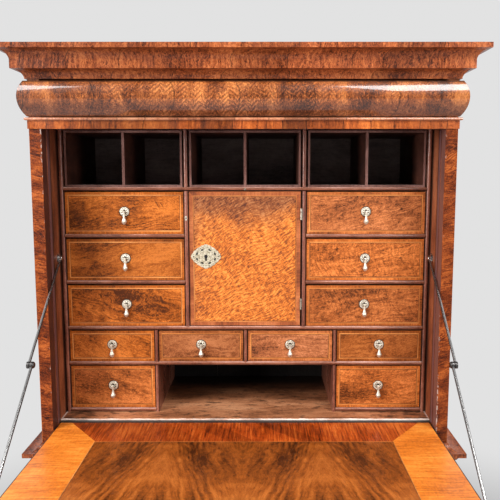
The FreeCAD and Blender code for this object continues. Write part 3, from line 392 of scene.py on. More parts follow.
def boards(half_span, seed):
    """The wear of the back: upright boards of differing tones, with dark joints."""
    width = half_span * 2 / BACK_BOARD_COUNT

    def wear(colour, place):
        across, height = place.parts("XZ")
        count = (across + (half_span - BACK_LAP)) * (1 / width)
        number = count.math("FLOOR") + seed
        chance = number.node("TexWhiteNoise", {"W": number}, "Value", noise_dimensions="1D")
        joint = count.math("PINGPONG", 0.5).remap(0.9 * MM / width, 2.2 * MM / width, 0.25, 1)
        stage_joint = height.past(case_low.z).size().remap(1.2, 2.8, 0.25, 1)
        return colour.scaled(chance.remap(0, 1, 0.72, 1.25) * joint.math("MINIMUM", stage_joint))
    return wear


def marks(low, high, spots):
    """The wear of a drawer front with dark marks on it.

    A mark has its place as shares of the front, its length, width, slant in degrees and strength.
    """
    def wear(colour, place):
        across, height = place.parts("XZ")
        ragged = place.noise((240, 240, 240)).centred(1.2)
        for share_x, share_z, length, width, slant, strength in spots:
            x = across.past(low.x + (high.x - low.x) * share_x)
            z = height.past(low.z + (high.z - low.z) * share_z)
            cosine, sine = math.cos(math.radians(slant)), math.sin(math.radians(slant))
            along = (x * cosine + z * sine) * (2 / length)
            aside = (z * cosine - x * sine) * (2 / width)
            amount = (along.as_vector(aside, 0).length() + ragged).remap(0.55, 1.1, strength, 0, True)
            colour = amount.between(colour, rgb(4.5, 1.2, 0.5))
        return colour
    return wear


def lengths(pitch, contrast, line=0.4):
    """The wear of a moulding veneered in short lengths: each has its own tone, with dark joints between."""
    def wear(colour, place):
        across, depth = place.parts("XY")
        along = across + depth + place.noise((50, 50, 50)).centred(9 * MM)
        ruler = {"W": along, "Scale": 1 / pitch, "Randomness": 0.85}
        tone = along.node("TexVoronoi", ruler, "Color", voronoi_dimensions="1D").parts("X")[0]
        edge = along.node("TexVoronoi", ruler, "Distance", voronoi_dimensions="1D",
                          feature="DISTANCE_TO_EDGE")
        joint = edge.remap(0.6 * MM / pitch, 1.8 * MM / pitch, line, 1)
        return colour.scaled(tone.remap(0, 1, 1 - contrast, 1 + contrast) * joint)
    return wear


def cushion_figure_and_shade(colour, place):
    """A zigzag figure about the cushion's middle, joints, painted shade with a greyish painted reflection on
    its underside, and painted shadow along its top and bottom edges.
    """
    across, height = place.parts("XZ")
    wander = place.noise((30, 30, 30), detail=3, rough=0.6).centred(45 * MM)
    fold = (across + wander).math("PINGPONG", CHEVRON)
    zigzag = ((height + fold + wander * 0.6) * (math.tau / CHEVRON_LINES)).math("SINE")
    patch = place.noise((9, 9, 22)).remap(0.4, 0.58, 0.4, 1)
    shown = across.size().remap(0.22, 0.42, 0.4, 0.08, True) * patch
    colour = lengths(0.16, 0.12)(colour.scaled(zigzag * shown + 1), place)
    rise = height.past(frieze_low.z)
    # Painted shade on the underside, with a greyish painted reflection, growing towards the bottom.
    dull = rise.remap(42, 22, 0, 0.8, True)
    colour = dull.between(colour, rgb(42, 42, 66), "MULTIPLY")
    # Painted shadow in the gaps along the top and the bottom edges.
    gap_shadow = rise.remap(4, 1, 0, 0.85).larger(height.past(frieze_high.z).remap(-5, -1, 0, 0.85))
    return gap_shadow.between(colour, rgb(1.5, 0.6, 0.4))


# Materials

veneer_of("case_field", 0.7, fine=0.55, figure=1.4, mottle=0.8, curl=0.7, knots=0.6)
wood("band_veneer", "sheet", (17, 3.6, 0.5), (44, 11, 1.6), (72, 22, 4), bend=0.4)
wood("string_wood", "sheet", (30, 9.2, 2), (58, 19.5, 4.4), (78, 32, 9), figure=0, mottle=1.2)
# The dark rounded edge of a veneer sheet: dirt, and painted shadow for the gaps round the drawers and the
# door.
wood("edge_dirt", "sheet", (0.6, 0.3, 0.2), (2.2, 0.8, 0.4), (6, 2.2, 1.2), figure=0, rough=0.55, coat=0)
wood("door_veneer", "sheet", (20, 5.2, 1.6), (61, 15.8, 2.4), (95, 34, 7), fine=1.5, figure=0.15, mottle=0.4,
     ripple=2.7, curl=1, knots=0.3, bend=0.6, shine=0.25, wear=door_shade)
wood("door_band", "sheet", (14, 3.4, 1.2), (38, 10, 3), (58, 19, 6.5), bend=0.4)
wood("stile_veneer", "sheet", (2.2, 0.4, 0.2), (18.5, 3.3, 0.6), (45, 11.2, 2.2), fine=2.5, figure=1.3,
     mottle=0.8, ripple=0.4, curl=1.5, coat=0, shine=0.15, wear=stile_wear)
wood("cushion_veneer", "z", (4, 0.9, 0.3), (28, 7.3, 1.8), (62, 21.5, 5.8), fine=1.7, figure=0.2, streak=1.1,
     mottle=0.8, ripple=0.4, curl=1.7, bend=1.3, rough=0.3, coat=1, gloss=0.07, shine=0.3, wear=cushion_figure_and_shade)
wood("front_moulding", "z", (6, 1.1, 0.3), (29, 6.2, 1.1), (54, 15, 3), figure=0.5, streak=1.4, mottle=0.6,
     curl=0.9, rough=0.3, coat=0.3, wear=lengths(0.065, 0.45))
wood("cornice_veneer", "z", (4.8, 1, 0.4), (28, 6.4, 1.9), (52, 15.5, 4.8), figure=0.7, streak=1.4,
     mottle=0.6, curl=2, rough=0.32, shine=0.25, wear=lengths(0.12, 0.2))
# The bead's wood is lighter than the moulding's, partly as a painted highlight along it.
wood("bead_wood", "z", (14, 4.4, 2), (44, 15.5, 7), (66, 30, 16), figure=0.4, streak=1.2, rough=0.2, coat=1,
     gloss=0.1, shine=0.6, wear=lengths(0.065, 0.25))
wood("nest_wood", "x", (5, 1.4, 0.7), (21, 6.6, 3.4), (36, 14, 8), mottle=0.7, rough=0.3)
# Painted shade for the undersides of the shelf edges and the floor's nose, and for the sides of the posts.
wood("nest_dark", "x", (0.8, 0.2, 0.2), (2.2, 0.6, 0.4), (4.5, 1.3, 0.8), mottle=0.7, rough=0.5,
     coat=0)
# Rubbed tops of the shelf edges, lighter also as a painted highlight.
wood("nest_worn", "x", (18, 7, 4.2), (42, 19, 13), (64, 38, 31), figure=0.2, mottle=1.2, rough=0.3)
wood("upright_wood", "z", (5, 1.4, 0.8), (21, 6.4, 3.6), (38, 14.5, 9), mottle=0.8, rough=0.3)
wood("case_veneer", "z", (5, 1.2, 0.3), (24, 6, 1.3), (45, 15, 3.6), fine=0.7, figure=1)
wood("inner_wood", "z", (4, 0.9, 0.3), (19, 4.7, 1.6), (34, 10.5, 4.2), figure=0.4, rough=0.42, coat=0.05,
     wear=reveal_shade_and_highlight)
wood("box_wood", "x", (11, 7.6, 6.8), (32, 22.5, 20), (50, 38, 34), mottle=0.9, rough=0.55, coat=0)
wood("box_side", "y", (1.4, 0.4, 0.3), (5.6, 1.7, 1), (11, 3.6, 2.2), mottle=0.9, rough=0.5, coat=0)
wood("box_edge", "z", (6, 2.2, 1.7), (16.5, 7.2, 5.6), (30, 15.5, 13), mottle=0.9, rough=0.42)
wood("floor_wood", "x", (10, 3.2, 1.3), (44, 16.5, 7), (70, 33, 16.5), figure=0.5, mottle=0.9, rough=0.42,
     wear=floor_wear_and_painted_light)
wood("lining_wood", "y", (22, 11, 5), (42, 25, 13), (58, 39, 22), fine=0.6, figure=0.6, mottle=0.6, rough=0.6,
     coat=0)
for stage, half_span, seed in (("upper", half_inside, 0), ("lower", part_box("back_boards")[1].x, 12)):
    wood("back_" + stage, "z", (10, 5, 2.5), (24, 13.5, 7.5), (38, 24, 14), fine=0.6, figure=0.4, streak=1.5,
         mottle=0.4, curl=0.4, rough=0.65, coat=0, wear=boards(half_span, seed))
wood("back_inside", "z", (0.3, 0.2, 0.2), (0.7, 0.5, 0.4), (1.8, 1.2, 0.9), figure=0.5, mottle=0.8, rough=0.7,
     coat=0)
wood("foot_wood", "z", (3, 0.8, 0.3), (13, 3.4, 1), (28, 8.5, 2.8), figure=1)
wood("fall_band", "sheet", (8, 1.1, 0.2), (38, 5.4, 0.5), (66, 15.5, 2.3), figure=0, streak=2.2, mottle=0.7,
     curl=0.3, bend=0.15, wear=lengths(0.06, 0.22, 0.9))
wood("fall_end", "sheet", (40, 9.5, 1), (80, 21.5, 2), (95, 40, 6.5), figure=0.4, streak=1.3, mottle=0.6,
     ripple=0.5, bend=0.4)
metal("brass", (80, 75, 63), (50, 44, 32), 0.32, metallic=0.65)
metal("plate_brass", (82, 76, 59), (36, 30, 19), 0.34, scale=300, spots=0.5, metallic=0.6, grit=0.3)
metal("hinge_brass", (42, 37, 29), (13, 10, 7.5), 0.3, metallic=0.85)
# Dirt on brass, and painted shade round the rims of the handles' plates.
metal("brass_dirt", (6, 4.2, 2.4), (2, 1.3, 0.8), 0.5, metallic=0.5)
# Painted shade for the keyhole and the piercings of the escutcheons.
metal("keyhole_dark", (1, 0.8, 0.7), (0.4, 0.3, 0.3), 0.7, metallic=0)
metal("iron", (54, 53, 52), (29, 28, 27.5), 0.22, scale=30, spots=1.3, grit=0)
# Dark iron: painted shade on the stays' inner flanks, and the knee's eyes and rivets.
metal("iron_dark", (11.5, 11, 10.8), (4.5, 4.2, 4), 0.34, scale=180)


def dress(mesh, names):
    """Gives a mesh the materials whose names the text holds, with spaces between them."""
    for name in names.split():
        mesh.materials.append(looks[name])


# CAD nodes

SKIN = 1 * MM
SMALL_FRONT = 14 * MM
CHEST_FRONT = 20 * MM
KNEE_EYE = 8.5 * MM
POST_TIP = 20 * MM
BOX_TIP = 40 * MM
BEAD_GAP = 2.5 * MM
BEAD_HIGH = 9 * MM
# The share of a face's normal along an axis from which the face counts as looking that way.
FACING = 0.9
POST_SIDE = 0.8
STAY_FLANK = 0.65
SHELF_TOP = 0.6
SHELF_UNDERSIDE = 0.45
FLOOR_TOP = 0.2


def paint(name, materials, choose=None):
    """Gives a CAD node its materials; choose picks one by a face's middle and normal."""
    mesh = nodes[name].data
    mesh.materials.clear()
    dress(mesh, materials)
    for face in mesh.polygons:
        face.material_index = choose(face.center, face.normal) if choose else 0


def drawer_face(name):
    """The plane of a drawer's front board, behind its handle."""
    return nest_face if name in small_drawers else lower_low.y


def drawer_faces(name):
    """Brass in front of the drawer's face, walnut for its front board, oak behind it."""
    face_y = drawer_face(name)
    front_back = face_y + (SMALL_FRONT if name in small_drawers else CHEST_FRONT) + HAIR

    def choose(middle, normal):
        if middle.y < face_y - HAIR:
            return 2
        return 0 if middle.y < front_back else 1
    return choose


def knee_of(word):
    """The point where the two arms of a stay meet with the fall open, half way between their ends."""
    return (pivots["stay_upper_" + word] + pivots["stay_lower_" + word]) / 2


def stay_faces(knee):
    """Polished arms with painted shade on the side towards the cabinet's middle, and dark eyes at the knee.
    """
    def choose(middle, normal):
        reach = math.hypot(middle.y - knee.y, middle.z - knee.z)
        inward = -math.copysign(normal.x, normal.x * knee.x)
        return 1 if reach < KNEE_EYE or inward > STAY_FLANK else 0
    return choose


def shelf_faces(middle, normal):
    """The rubbed top with a painted highlight, the plain front and the underside in painted shade, of a
    half-round shelf edge.
    """
    if normal.z < -SHELF_UNDERSIDE:
        return 1
    rounded = middle.y < nest_face
    return 2 if rounded and normal.z > SHELF_TOP else 0


def post_faces(middle, normal):
    """The plain front, and the sides of a half-round post in painted shade."""
    return 1 if middle.y < nest_face + POST_TIP and abs(normal.x) > POST_SIDE else 0


def box_faces(middle, normal):
    """The front edges, the walls and tops, and the rest of the pigeonhole boxes."""
    if normal.y < -FACING and middle.y < nest_face + BOX_TIP:
        return 1
    return 2 if abs(normal.x) > FACING or normal.z < -FACING else 0


def rail_faces(middle, normal):
    """The cross-banded rail, the bead over it and the cushion's returns on the sides."""
    if middle.z > frieze_low.z:
        return 2
    return 1 if middle.z > frieze_low.z - BEAD_GAP - BEAD_HIGH else 0


def back_faces(middle, normal):
    """The dark inner side of the back, and the boards of the lower and the upper stage."""
    if normal.y < -FACING:
        return 2
    return 1 if middle.z < waist_high.z else 0


def case_faces(low, high):
    """Veneer on the sides and the front edges of a case, and plain wood inside it."""
    return lambda middle, normal: 0 if abs(middle.x) > high.x - SKIN or middle.y < low.y + SKIN else 1


ONE_MATERIAL = {
    "brass": drops + ["door_escutcheon", "door_lock", "fall_lock"],
    "hinge_brass": ["door_hinges", "door_fixings"],
    "iron": ["fall_fixings", "fall_plates"],
    "cornice_veneer": ["cornice", "waist_moulding", "base_moulding"],
    "foot_wood": ["bun_feet"],
    "case_veneer": ["fall_board"],
    "nest_wood": ["door_panel"],
}
for material, names in ONE_MATERIAL.items():
    for name in names:
        paint(name, material)
for name in drawers:
    paint(name, "nest_wood lining_wood brass", drawer_faces(name))
for word in SIDES:
    for arm in ("stay_upper_", "stay_lower_"):
        paint(arm + word, "iron iron_dark", stay_faces(knee_of(word)))
paint("frieze_rail", "front_moulding bead_wood cushion_veneer", rail_faces)
paint("nest_shelves", "nest_wood nest_dark nest_worn", shelf_faces)
paint("nest_uprights", "upright_wood nest_dark", post_faces)
paint("pigeonhole_boxes", "box_wood box_edge box_side", box_faces)
# The writing floor's underside is in painted shade.
paint("writing_floor", "floor_wood nest_dark", lambda middle, normal: 1 if normal.z < FLOOR_TOP else 0)
paint("back_boards", "back_upper back_lower back_inside", back_faces)
paint("frieze_drawer", "cushion_veneer lining_wood", lambda middle, normal: 0 if middle.y < front_y else 1)
paint("upper_case", "case_veneer inner_wood", case_faces(case_low, case_high))
paint("lower_case", "case_veneer inner_wood", case_faces(lower_low, lower_high))


# Mesh pieces

def show(name, data):
    item = bpy.data.objects.new(name, data)
    bpy.context.scene.collection.objects.link(item)
    return item


def settle(name, mesh, body, materials):
    """Makes a piece of a mesh, which rides on a body."""
    dress(mesh, materials)
    item = show(name, mesh)
    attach(item, body)
    return item


class Builder:
    """Gathers points and faces, with a material and a grain layout for each face."""

    def __init__(self):
        self.points = []
        self.faces = []
        self.picks = []
        self.grain = []

    def point(self, place):
        self.points.append(tuple(place))
        return len(self.points) - 1

    def face(self, corners, pick=0, grain=None):
        self.faces.append(tuple(corners))
        self.picks.append(pick)
        self.grain.append(grain or [(0, 0)] * len(corners))

    def piece(self, name, body, materials, smooth=False):
        mesh = bpy.data.meshes.new(name)
        mesh.from_pydata(self.points, [], self.faces)
        layer = mesh.uv_layers.new(name="grain")
        for face, pick, spots in zip(mesh.polygons, self.picks, self.grain):
            face.material_index = pick
            face.use_smooth = smooth
            for loop, spot in zip(face.loop_indices, spots):
                layer.data[loop].uv = spot
        settle(name, mesh, body, materials)


class Sheet(NamedTuple):
    """A flat face: its lower left corner, its two directions and its size."""

    corner: tuple
    across: Vector
    upward: Vector
    width: float
    height: float

    def outward(self):
        return self.across.cross(self.upward)

    def place(self, u, v, lift):
        return Vector(self.corner) + self.across * u + self.upward * v + self.outward() * lift


BEVEL_DROP = 0.6 * MM
BEVEL_SHARE = 0.3
LINE = 0.8 * MM
HEEL_SHARE = 0.1
EDGE_RINGS = 4
GRAIN_SPREAD = 60
LAYERS = range(5)
FIELD, FLAT_BAND, UPRIGHT_BAND, STRING, EDGE = LAYERS
STRIPS = ("edge", "edge", "edge", "band", "string", "edge")
BEVEL_STRIPS = (1, 2)


def ring(builder, sheet, inset, lift, stops):
    """Points round a rectangle inside the sheet's edges, each with its place on the sheet."""
    spots = [(u, inset) for u in stops] + [(u, sheet.height - inset) for u in reversed(stops)]
    return [(builder.point(sheet.place(u, v, lift)), u, v) for u, v in spots]


def veneer(name, body, sheet, materials, seed, band=0, string=0, turn=0, columns=1, edge=0.6 * MM, heel=0,
           bright_top=False):
    """A sheet of veneer: a cross-grained band, a string line and a field of book-matched columns.

    The materials go from the field to the edge, in the order of LAYERS. turn slants the field's
    grain, in degrees. With a heel, the side bands run on along the top for that length before
    the mitre starts. With a bright top, the rounded edge along it takes the band's wood, not the edge's.
    """
    draw = random.Random(seed)
    shift = [(draw.uniform(0, GRAIN_SPREAD), draw.uniform(0, GRAIN_SPREAD)) for layer in LAYERS]
    builder = Builder()
    steps = [(0, -HAIR), (0, VENEER - BEVEL_DROP)]
    steps += [(BEVEL_SHARE * edge, VENEER - BEVEL_SHARE * BEVEL_DROP), (edge, VENEER)]
    if band:
        steps += [(band, VENEER), (band + string, VENEER), (band + string + LINE, VENEER)]
    rings = []
    for number, (inset, lift) in enumerate(steps):
        right = sheet.width - inset
        stops = [inset + (right - inset) * column / columns for column in range(columns + 1)]
        if heel:
            reach = heel if number < EDGE_RINGS else heel * HEEL_SHARE
            stops = [inset, inset + reach] + stops[1:-1] + [right - reach, right]
        rings.append(ring(builder, sheet, inset, lift, stops))
    count = len(rings[0])
    last = count // 2 - 1
    upright = {last, count - 1, last + 1, count - 2} if heel else {last, count - 1}

    def lay(spots, pick, grain):
        offset = shift[pick]
        layout = [(x + offset[0], y + offset[1]) for x, y in grain]
        builder.face([spot[0] for spot in spots], pick, layout)

    for number, (kind, outer, inner) in enumerate(zip(STRIPS, rings, rings[1:])):
        for start in range(count):
            end = (start + 1) % count
            flat = start not in upright
            pick = {"string": STRING, "edge": EDGE}.get(kind, FLAT_BAND if flat else UPRIGHT_BAND)
            if bright_top and flat and start > last and number in BEVEL_STRIPS:
                pick = FLAT_BAND
            spots = (outer[start], outer[end], inner[end], inner[start])
            lay(spots, pick, [(v, u) if flat == (kind == "band") else (u, v) for index, u, v in spots])
    cosine, sine = math.cos(math.radians(turn)), math.sin(math.radians(turn))
    skip = 1 if heel else 0
    cuts = [0] + [column + skip for column in range(1, columns)] + [last]
    for column, (low, high) in enumerate(zip(cuts, cuts[1:])):
        corners = list(range(low, high + 1)) + list(range(count - 1 - high, count - low))
        spots = [rings[-1][corner] for corner in corners]
        first, second = spots[0][1], spots[high - low][1]
        grain = []
        for index, u, v in spots:
            inward = second - u if column % 2 else u - first
            grain.append((inward * cosine + v * sine, v * cosine - inward * sine))
        lay(spots, FIELD, grain)
        back = [rings[0][corner] for corner in reversed(corners)]
        lay(back, FIELD, [(u, v) for index, u, v in back])
    builder.piece(name, body, materials)


def turned(name, body, materials, centre, outward, profile, segments=32, shape=None, choose=None):
    """A turned piece. The profile's radius and lift go from the rim to the middle, in millimetres."""
    side = outward.orthogonal().normalized()
    other = outward.cross(side)
    builder = Builder()
    rows = []
    for number, (radius, lift) in enumerate(profile):
        row = []
        for step in range(segments):
            angle = math.tau * step / segments
            wide, high = shape(number, angle, radius, lift) if shape else (radius, lift)
            way = side * math.cos(angle) + other * math.sin(angle)
            row.append(builder.point(centre + way * wide * MM + outward * high * MM))
        rows.append(row)
    for number, (outer, inner) in enumerate(zip(rows, rows[1:])):
        for step in range(segments):
            after = (step + 1) % segments
            pick = choose(number, step) if choose else 0
            builder.face((outer[step], outer[after], inner[after], inner[step]), pick)
    builder.face(rows[-1], choose(len(rows) - 1, 0) if choose else 0)
    builder.face(list(reversed(rows[0])))
    builder.piece(name, body, materials, smooth=True)


# Veneered fronts

# The veneer of each small drawer: its tone, its share of pale mauve, ripple and mottle, and the turn of its
# grain.
SMALL_VENEERS = {
    "left_upper": (0.88, 0, 0.4, 1.1, 4),
    "left_middle": (0.69, 0, 0.4, 1, 10),
    "left_lower": (0.94, 0, 0.3, 1, -6),
    "right_upper": (1.02, 0.48, 0.4, 0.8, 8),
    "right_middle": (1.14, 0.2, 1.1, 0.6, 8),
    "right_lower": (0.96, 0.3, 0.9, 0.7, 6),
    "row_far_left": (0.84, 0, 0.4, 0.9, -20),
    "row_near_left": (0.68, 0.55, 0.4, 1.1, 10),
    "row_near_right": (1.02, 0.7, 0.4, 1, -4),
    "row_far_right": (0.63, 0.15, 0.5, 1, 12),
    "corner_left": (1.02, 0.25, 0.4, 1.2, -12),
    "corner_right": (1.1, 0.2, 0.4, 0.9, 8),
}
SMALL_MARKS = {
    "left_upper": (
        (0.775, 0.72, 26, 3, -62, 0.8), (0.815, 0.7, 22, 3, -60, 0.7), (0.1, 0.55, 50, 70, 0, 0.35)),
    "left_lower": ((0.8, 0.64, 20, 9, -70, 0.8), (0.75, 0.66, 34, 24, 20, 0.35), (0.3, 0.2, 18, 6, 50, 0.45)),
    "right_upper": ((0.8, 0.6, 9, 8, 0, 0.9),),
    "right_middle": ((0.8, 0.55, 9, 7, 30, 0.75),),
}
BAND_TONE = 1.08
BAND_MAUVE = 0.7
CASE_LAYERS = "case_field band_veneer band_veneer string_wood "


def front_sheet(low, high, face_y):
    return Sheet((low.x, face_y, low.z), RIGHT, UP, high.x - low.x, high.z - low.z)


def side_veneer(stage, word, face_x, low_y, high_y, low_z, high_z, seed):
    """The veneer on a side of one stage of the case."""
    hand = SIDES[word]
    corner = (hand * face_x, low_y if hand > 0 else high_y, low_z)
    sheet = Sheet(corner, BACK * hand, UP, high_y - low_y, high_z - low_z)
    veneer(stage + "_side_" + word, "root", sheet, CASE_LAYERS + "band_veneer", seed, band=34 * MM,
           string=2 * MM, turn=84, columns=2)


for seed, name in enumerate(small_drawers):
    word = name.removeprefix("drawer_")
    tone, mauve_share, ripple, mottle, turn = SMALL_VENEERS[word]
    veneer_of("field_" + word, tone, mauve_share, figure=0.9, streak=0.7, ripple=ripple, curl=1.5, mottle=mottle,
              coat=0, shine=0.2, wear=marks(*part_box(name), SMALL_MARKS.get(word, ())))
    veneer_of("band_" + word, tone * BAND_TONE, mauve_share * BAND_MAUVE, figure=0.2, mottle=0.6, bend=0.4, coat=0,
              shine=0.2)
    veneer("veneer_" + word, name, front_sheet(*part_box(name), nest_face),
           f"field_{word} band_{word} band_{word} string_wood edge_dirt", seed, band=7.2 * MM, string=3 * MM,
           edge=1.1 * MM, turn=turn, bright_top=True)
for seed, name in enumerate(chest_drawers, start=40):
    veneer(name.replace("drawer", "veneer"), name, front_sheet(*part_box(name), lower_low.y),
           CASE_LAYERS + "edge_dirt", seed, band=19 * MM, string=2 * MM, columns=2 if "long" in name else 1,
           edge=1.4 * MM)
door_sheet = front_sheet(door_low, door_high, nest_face)
veneer("door_veneer", "door", door_sheet, "door_veneer door_band door_band string_wood edge_dirt", seed=60,
       band=11.5 * MM, string=1.8 * MM, turn=-60, edge=1 * MM, bright_top=True)

base_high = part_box("base_moulding")[1]
for word, hand in SIDES.items():
    side_veneer("upper", word, half_case, front_y, back_y, waist_high.z, rail_low.z, seed=70)
    side_veneer("lower", word, lower_high.x, lower_low.y, lower_high.y, base_high.z, waist_low.z, seed=72)
    inner, outer = sorted((hand * half_inside, hand * half_case))
    stile = Sheet((inner, front_y, waist_high.z), RIGHT, UP, outer - inner, rail_low.z - waist_high.z)
    veneer("stile_" + word, "root", stile, "stile_veneer " * len(LAYERS), seed=74 + hand, turn=14 * hand)

fall_size = (fall_high.x - fall_low.x, fall_high.y - fall_low.y)
writing_face = Sheet((fall_low.x, fall_low.y, fall_high.z), RIGHT, BACK, *fall_size)
veneer("fall_inside", "fall", writing_face, "case_field fall_band fall_end string_wood edge_dirt", seed=80,
       band=122 * MM, string=2.2 * MM, turn=78, columns=4, edge=2.5 * MM, heel=30 * MM)
outer_face = Sheet((fall_low.x, fall_high.y, fall_low.z), RIGHT, -BACK, *fall_size)
veneer("fall_outside", "fall", outer_face, CASE_LAYERS + "band_veneer", seed=82, band=40 * MM,
       string=2.2 * MM, turn=84, columns=4)


# Brass and steel

PLATE_SEGMENTS = 48
PETALS = 8
PETAL_RISE = 0.55
RIM_WAVE = 0.018
VALLEY = -0.75
# Radius and lift of each row of a handle's plate, from the rim to the middle, in millimetres.
ROSETTE = (
    (14.3, 0.2), (14.1, 0.6), (12.1, 0.6), (12.5, 1), (12.3, 2), (11.4, 2.6), (10.2, 2.3), (9.4, 1.8),
    (8.2, 2.3), (6.4, 2.7), (4.6, 2.3), (3.6, 1.8), (2.6, 1.75))
RECESSES = (0, 1, 10, 11, 12)
RIM_ROWS = range(6)
PETAL_ROWS = range(8, 11)
PLATE_SUNK = 0.4 * MM


def rosette_shape(number, angle, radius, lift):
    """Scallops round the rim and petals inside it."""
    if number in RIM_ROWS:
        return radius * (1 + RIM_WAVE * math.cos(angle * PETALS * 2)), lift
    if number in PETAL_ROWS:
        return radius, lift + PETAL_RISE * math.cos(angle * PETALS)
    return radius, lift


def rosette_pick(number, step):
    """Dirt with painted shade round the rim and behind it, and dirt between the petals and in the middle."""
    angle = math.tau * (step + 0.5) / PLATE_SEGMENTS
    valley = number in PETAL_ROWS and math.cos(angle * PETALS) < VALLEY
    return 1 if valley or number in RECESSES else 0


for name in drops:
    owner = name.replace("drop_", "drawer_")
    if owner not in nodes:
        owner = owner.rsplit("_", 1)[0]
    centre = Vector((pivots[name].x, drawer_face(owner) - VENEER + PLATE_SUNK, pivots[name].z))
    turned(name.replace("drop", "plate"), owner, "brass brass_dirt", centre, -BACK, ROSETTE,
           PLATE_SEGMENTS, rosette_shape, rosette_pick)


# The plates below are drawn in millimetres, with z from 0 up, and set on a sheet.

def curve_mesh(loops, lift, **settings):
    """The mesh of a curve along closed loops, raised by lift."""
    data = bpy.data.curves.new("outline", "CURVE")
    for name, value in settings.items():
        setattr(data, name, value)
    for loop in loops:
        spline = data.splines.new("POLY")
        spline.points.add(len(loop) - 1)
        for point, (x, y) in zip(spline.points, loop):
            point.co = (x * MM, y * MM, 0, 1)
        spline.use_cyclic_u = True
    holder = bpy.data.objects.new("holder", data)
    mesh = bpy.data.meshes.new_from_object(holder)
    mesh.transform(Matrix.Translation(UP * lift * MM))
    bpy.data.objects.remove(holder)
    bpy.data.curves.remove(data)
    return mesh


def cut_out(loops, thickness, bevel, base=0):
    """The mesh of a flat plate cut out along closed loops, standing on a base."""
    return curve_mesh(
        loops, base + thickness / 2, dimensions="2D", fill_mode="BOTH", extrude=(thickness / 2 - bevel) * MM,
        bevel_depth=bevel * MM, bevel_resolution=2, offset=-bevel * MM)


def tubes(loops, radius, lift):
    """The mesh of round wires that follow closed loops at a height."""
    return curve_mesh(loops, lift, dimensions="3D", bevel_depth=radius * MM, bevel_resolution=3)


def joined(name, body, materials, sheet, u, v, parts):
    """One piece from meshes and the numbers of their materials, set at a place on a sheet."""
    form = bmesh.new()
    for mesh, pick in parts:
        first = len(form.faces)
        form.from_mesh(mesh)
        bpy.data.meshes.remove(mesh)
        form.faces.ensure_lookup_table()
        for face in form.faces[first:]:
            face.material_index = pick
            face.smooth = False
    turn = Matrix((sheet.across, sheet.upward, sheet.outward())).transposed().to_4x4()
    form.transform(Matrix.Translation(sheet.place(u, v, VENEER)) @ turn)
    mesh = bpy.data.meshes.new(name)
    form.to_mesh(mesh)
    form.free()
    return settle(name, mesh, body, materials)


def oval(x, y, width, height, turn=0, count=20):
    """A closed loop of points round an oval."""
    points = []
    for step in range(count):
        angle = math.tau * step / count
        along, aside = width / 2 * math.cos(angle), height / 2 * math.sin(angle)
        points.append((x + along * math.cos(turn) - aside * math.sin(turn),
                       y + along * math.sin(turn) + aside * math.cos(turn)))
    return points


LOZENGE_POINTS = 144
LOZENGE_POWER = 1.42
SCALLOPS = 22
SCALLOP_DEPTH = 0.045
PLATE_THICK = 1.5
PLATE_BEVEL = 0.3
RIM_SHARE = 0.9
RIM_WIRE = 0.6
# The dark backing under an escutcheon is painted shade, seen through its holes.
BACKING_SHARE = 0.86
BACKING_THICK = 0.3
BACKING_BEVEL = 0.1
# Piercings: how many, their reach as shares of the plate, and their size.
PIERCINGS = 8
PIERCING_REACH = (0.315, 0.285)
PIERCING_SIZE = (8.4, 4.8)
END_REACH = 0.4
END_SIZE = (4.2, 2.6)
# The wire round the keyhole and the beads beside it.
COLLAR = (0, -2.6, 19, 25)
COLLAR_WIRE = 0.7
BEADS = ((-12.5, -2.6), (12.5, -2.6), (0, 13), (0, -18))
BEAD_SIZE = 2.2
BEAD_WIRE = 0.8
KEYHOLE_RADIUS = 5
KEYHOLE_SLOT = 5
KEYHOLE_DROP = 12
KEYHOLE_STEPS = 20


def lozenge(width, height, share=1, scallop=0):
    """A lozenge with bowed flanks, and scallops round it."""
    points = []
    power = 2 / LOZENGE_POWER
    for step in range(LOZENGE_POINTS):
        angle = math.tau * step / LOZENGE_POINTS
        cosine, sine = math.cos(angle), math.sin(angle)
        wave = share * (1 - scallop * (1 - abs(math.cos(angle * SCALLOPS / 2))))
        points.append((math.copysign(abs(cosine) ** power, cosine) * width / 2 * wave,
                       math.copysign(abs(sine) ** power, sine) * height / 2 * wave))
    return points


def keyhole_loop():
    """A round eye over a narrow slot."""
    half = KEYHOLE_SLOT / 2
    gap = math.asin(half / KEYHOLE_RADIUS)
    points = []
    for step in range(KEYHOLE_STEPS + 1):
        angle = -math.pi / 2 + gap + (math.tau - 2 * gap) * step / KEYHOLE_STEPS
        points.append((KEYHOLE_RADIUS * math.cos(angle), KEYHOLE_RADIUS * math.sin(angle)))
    return points + [(-half, -KEYHOLE_DROP), (half, -KEYHOLE_DROP)]


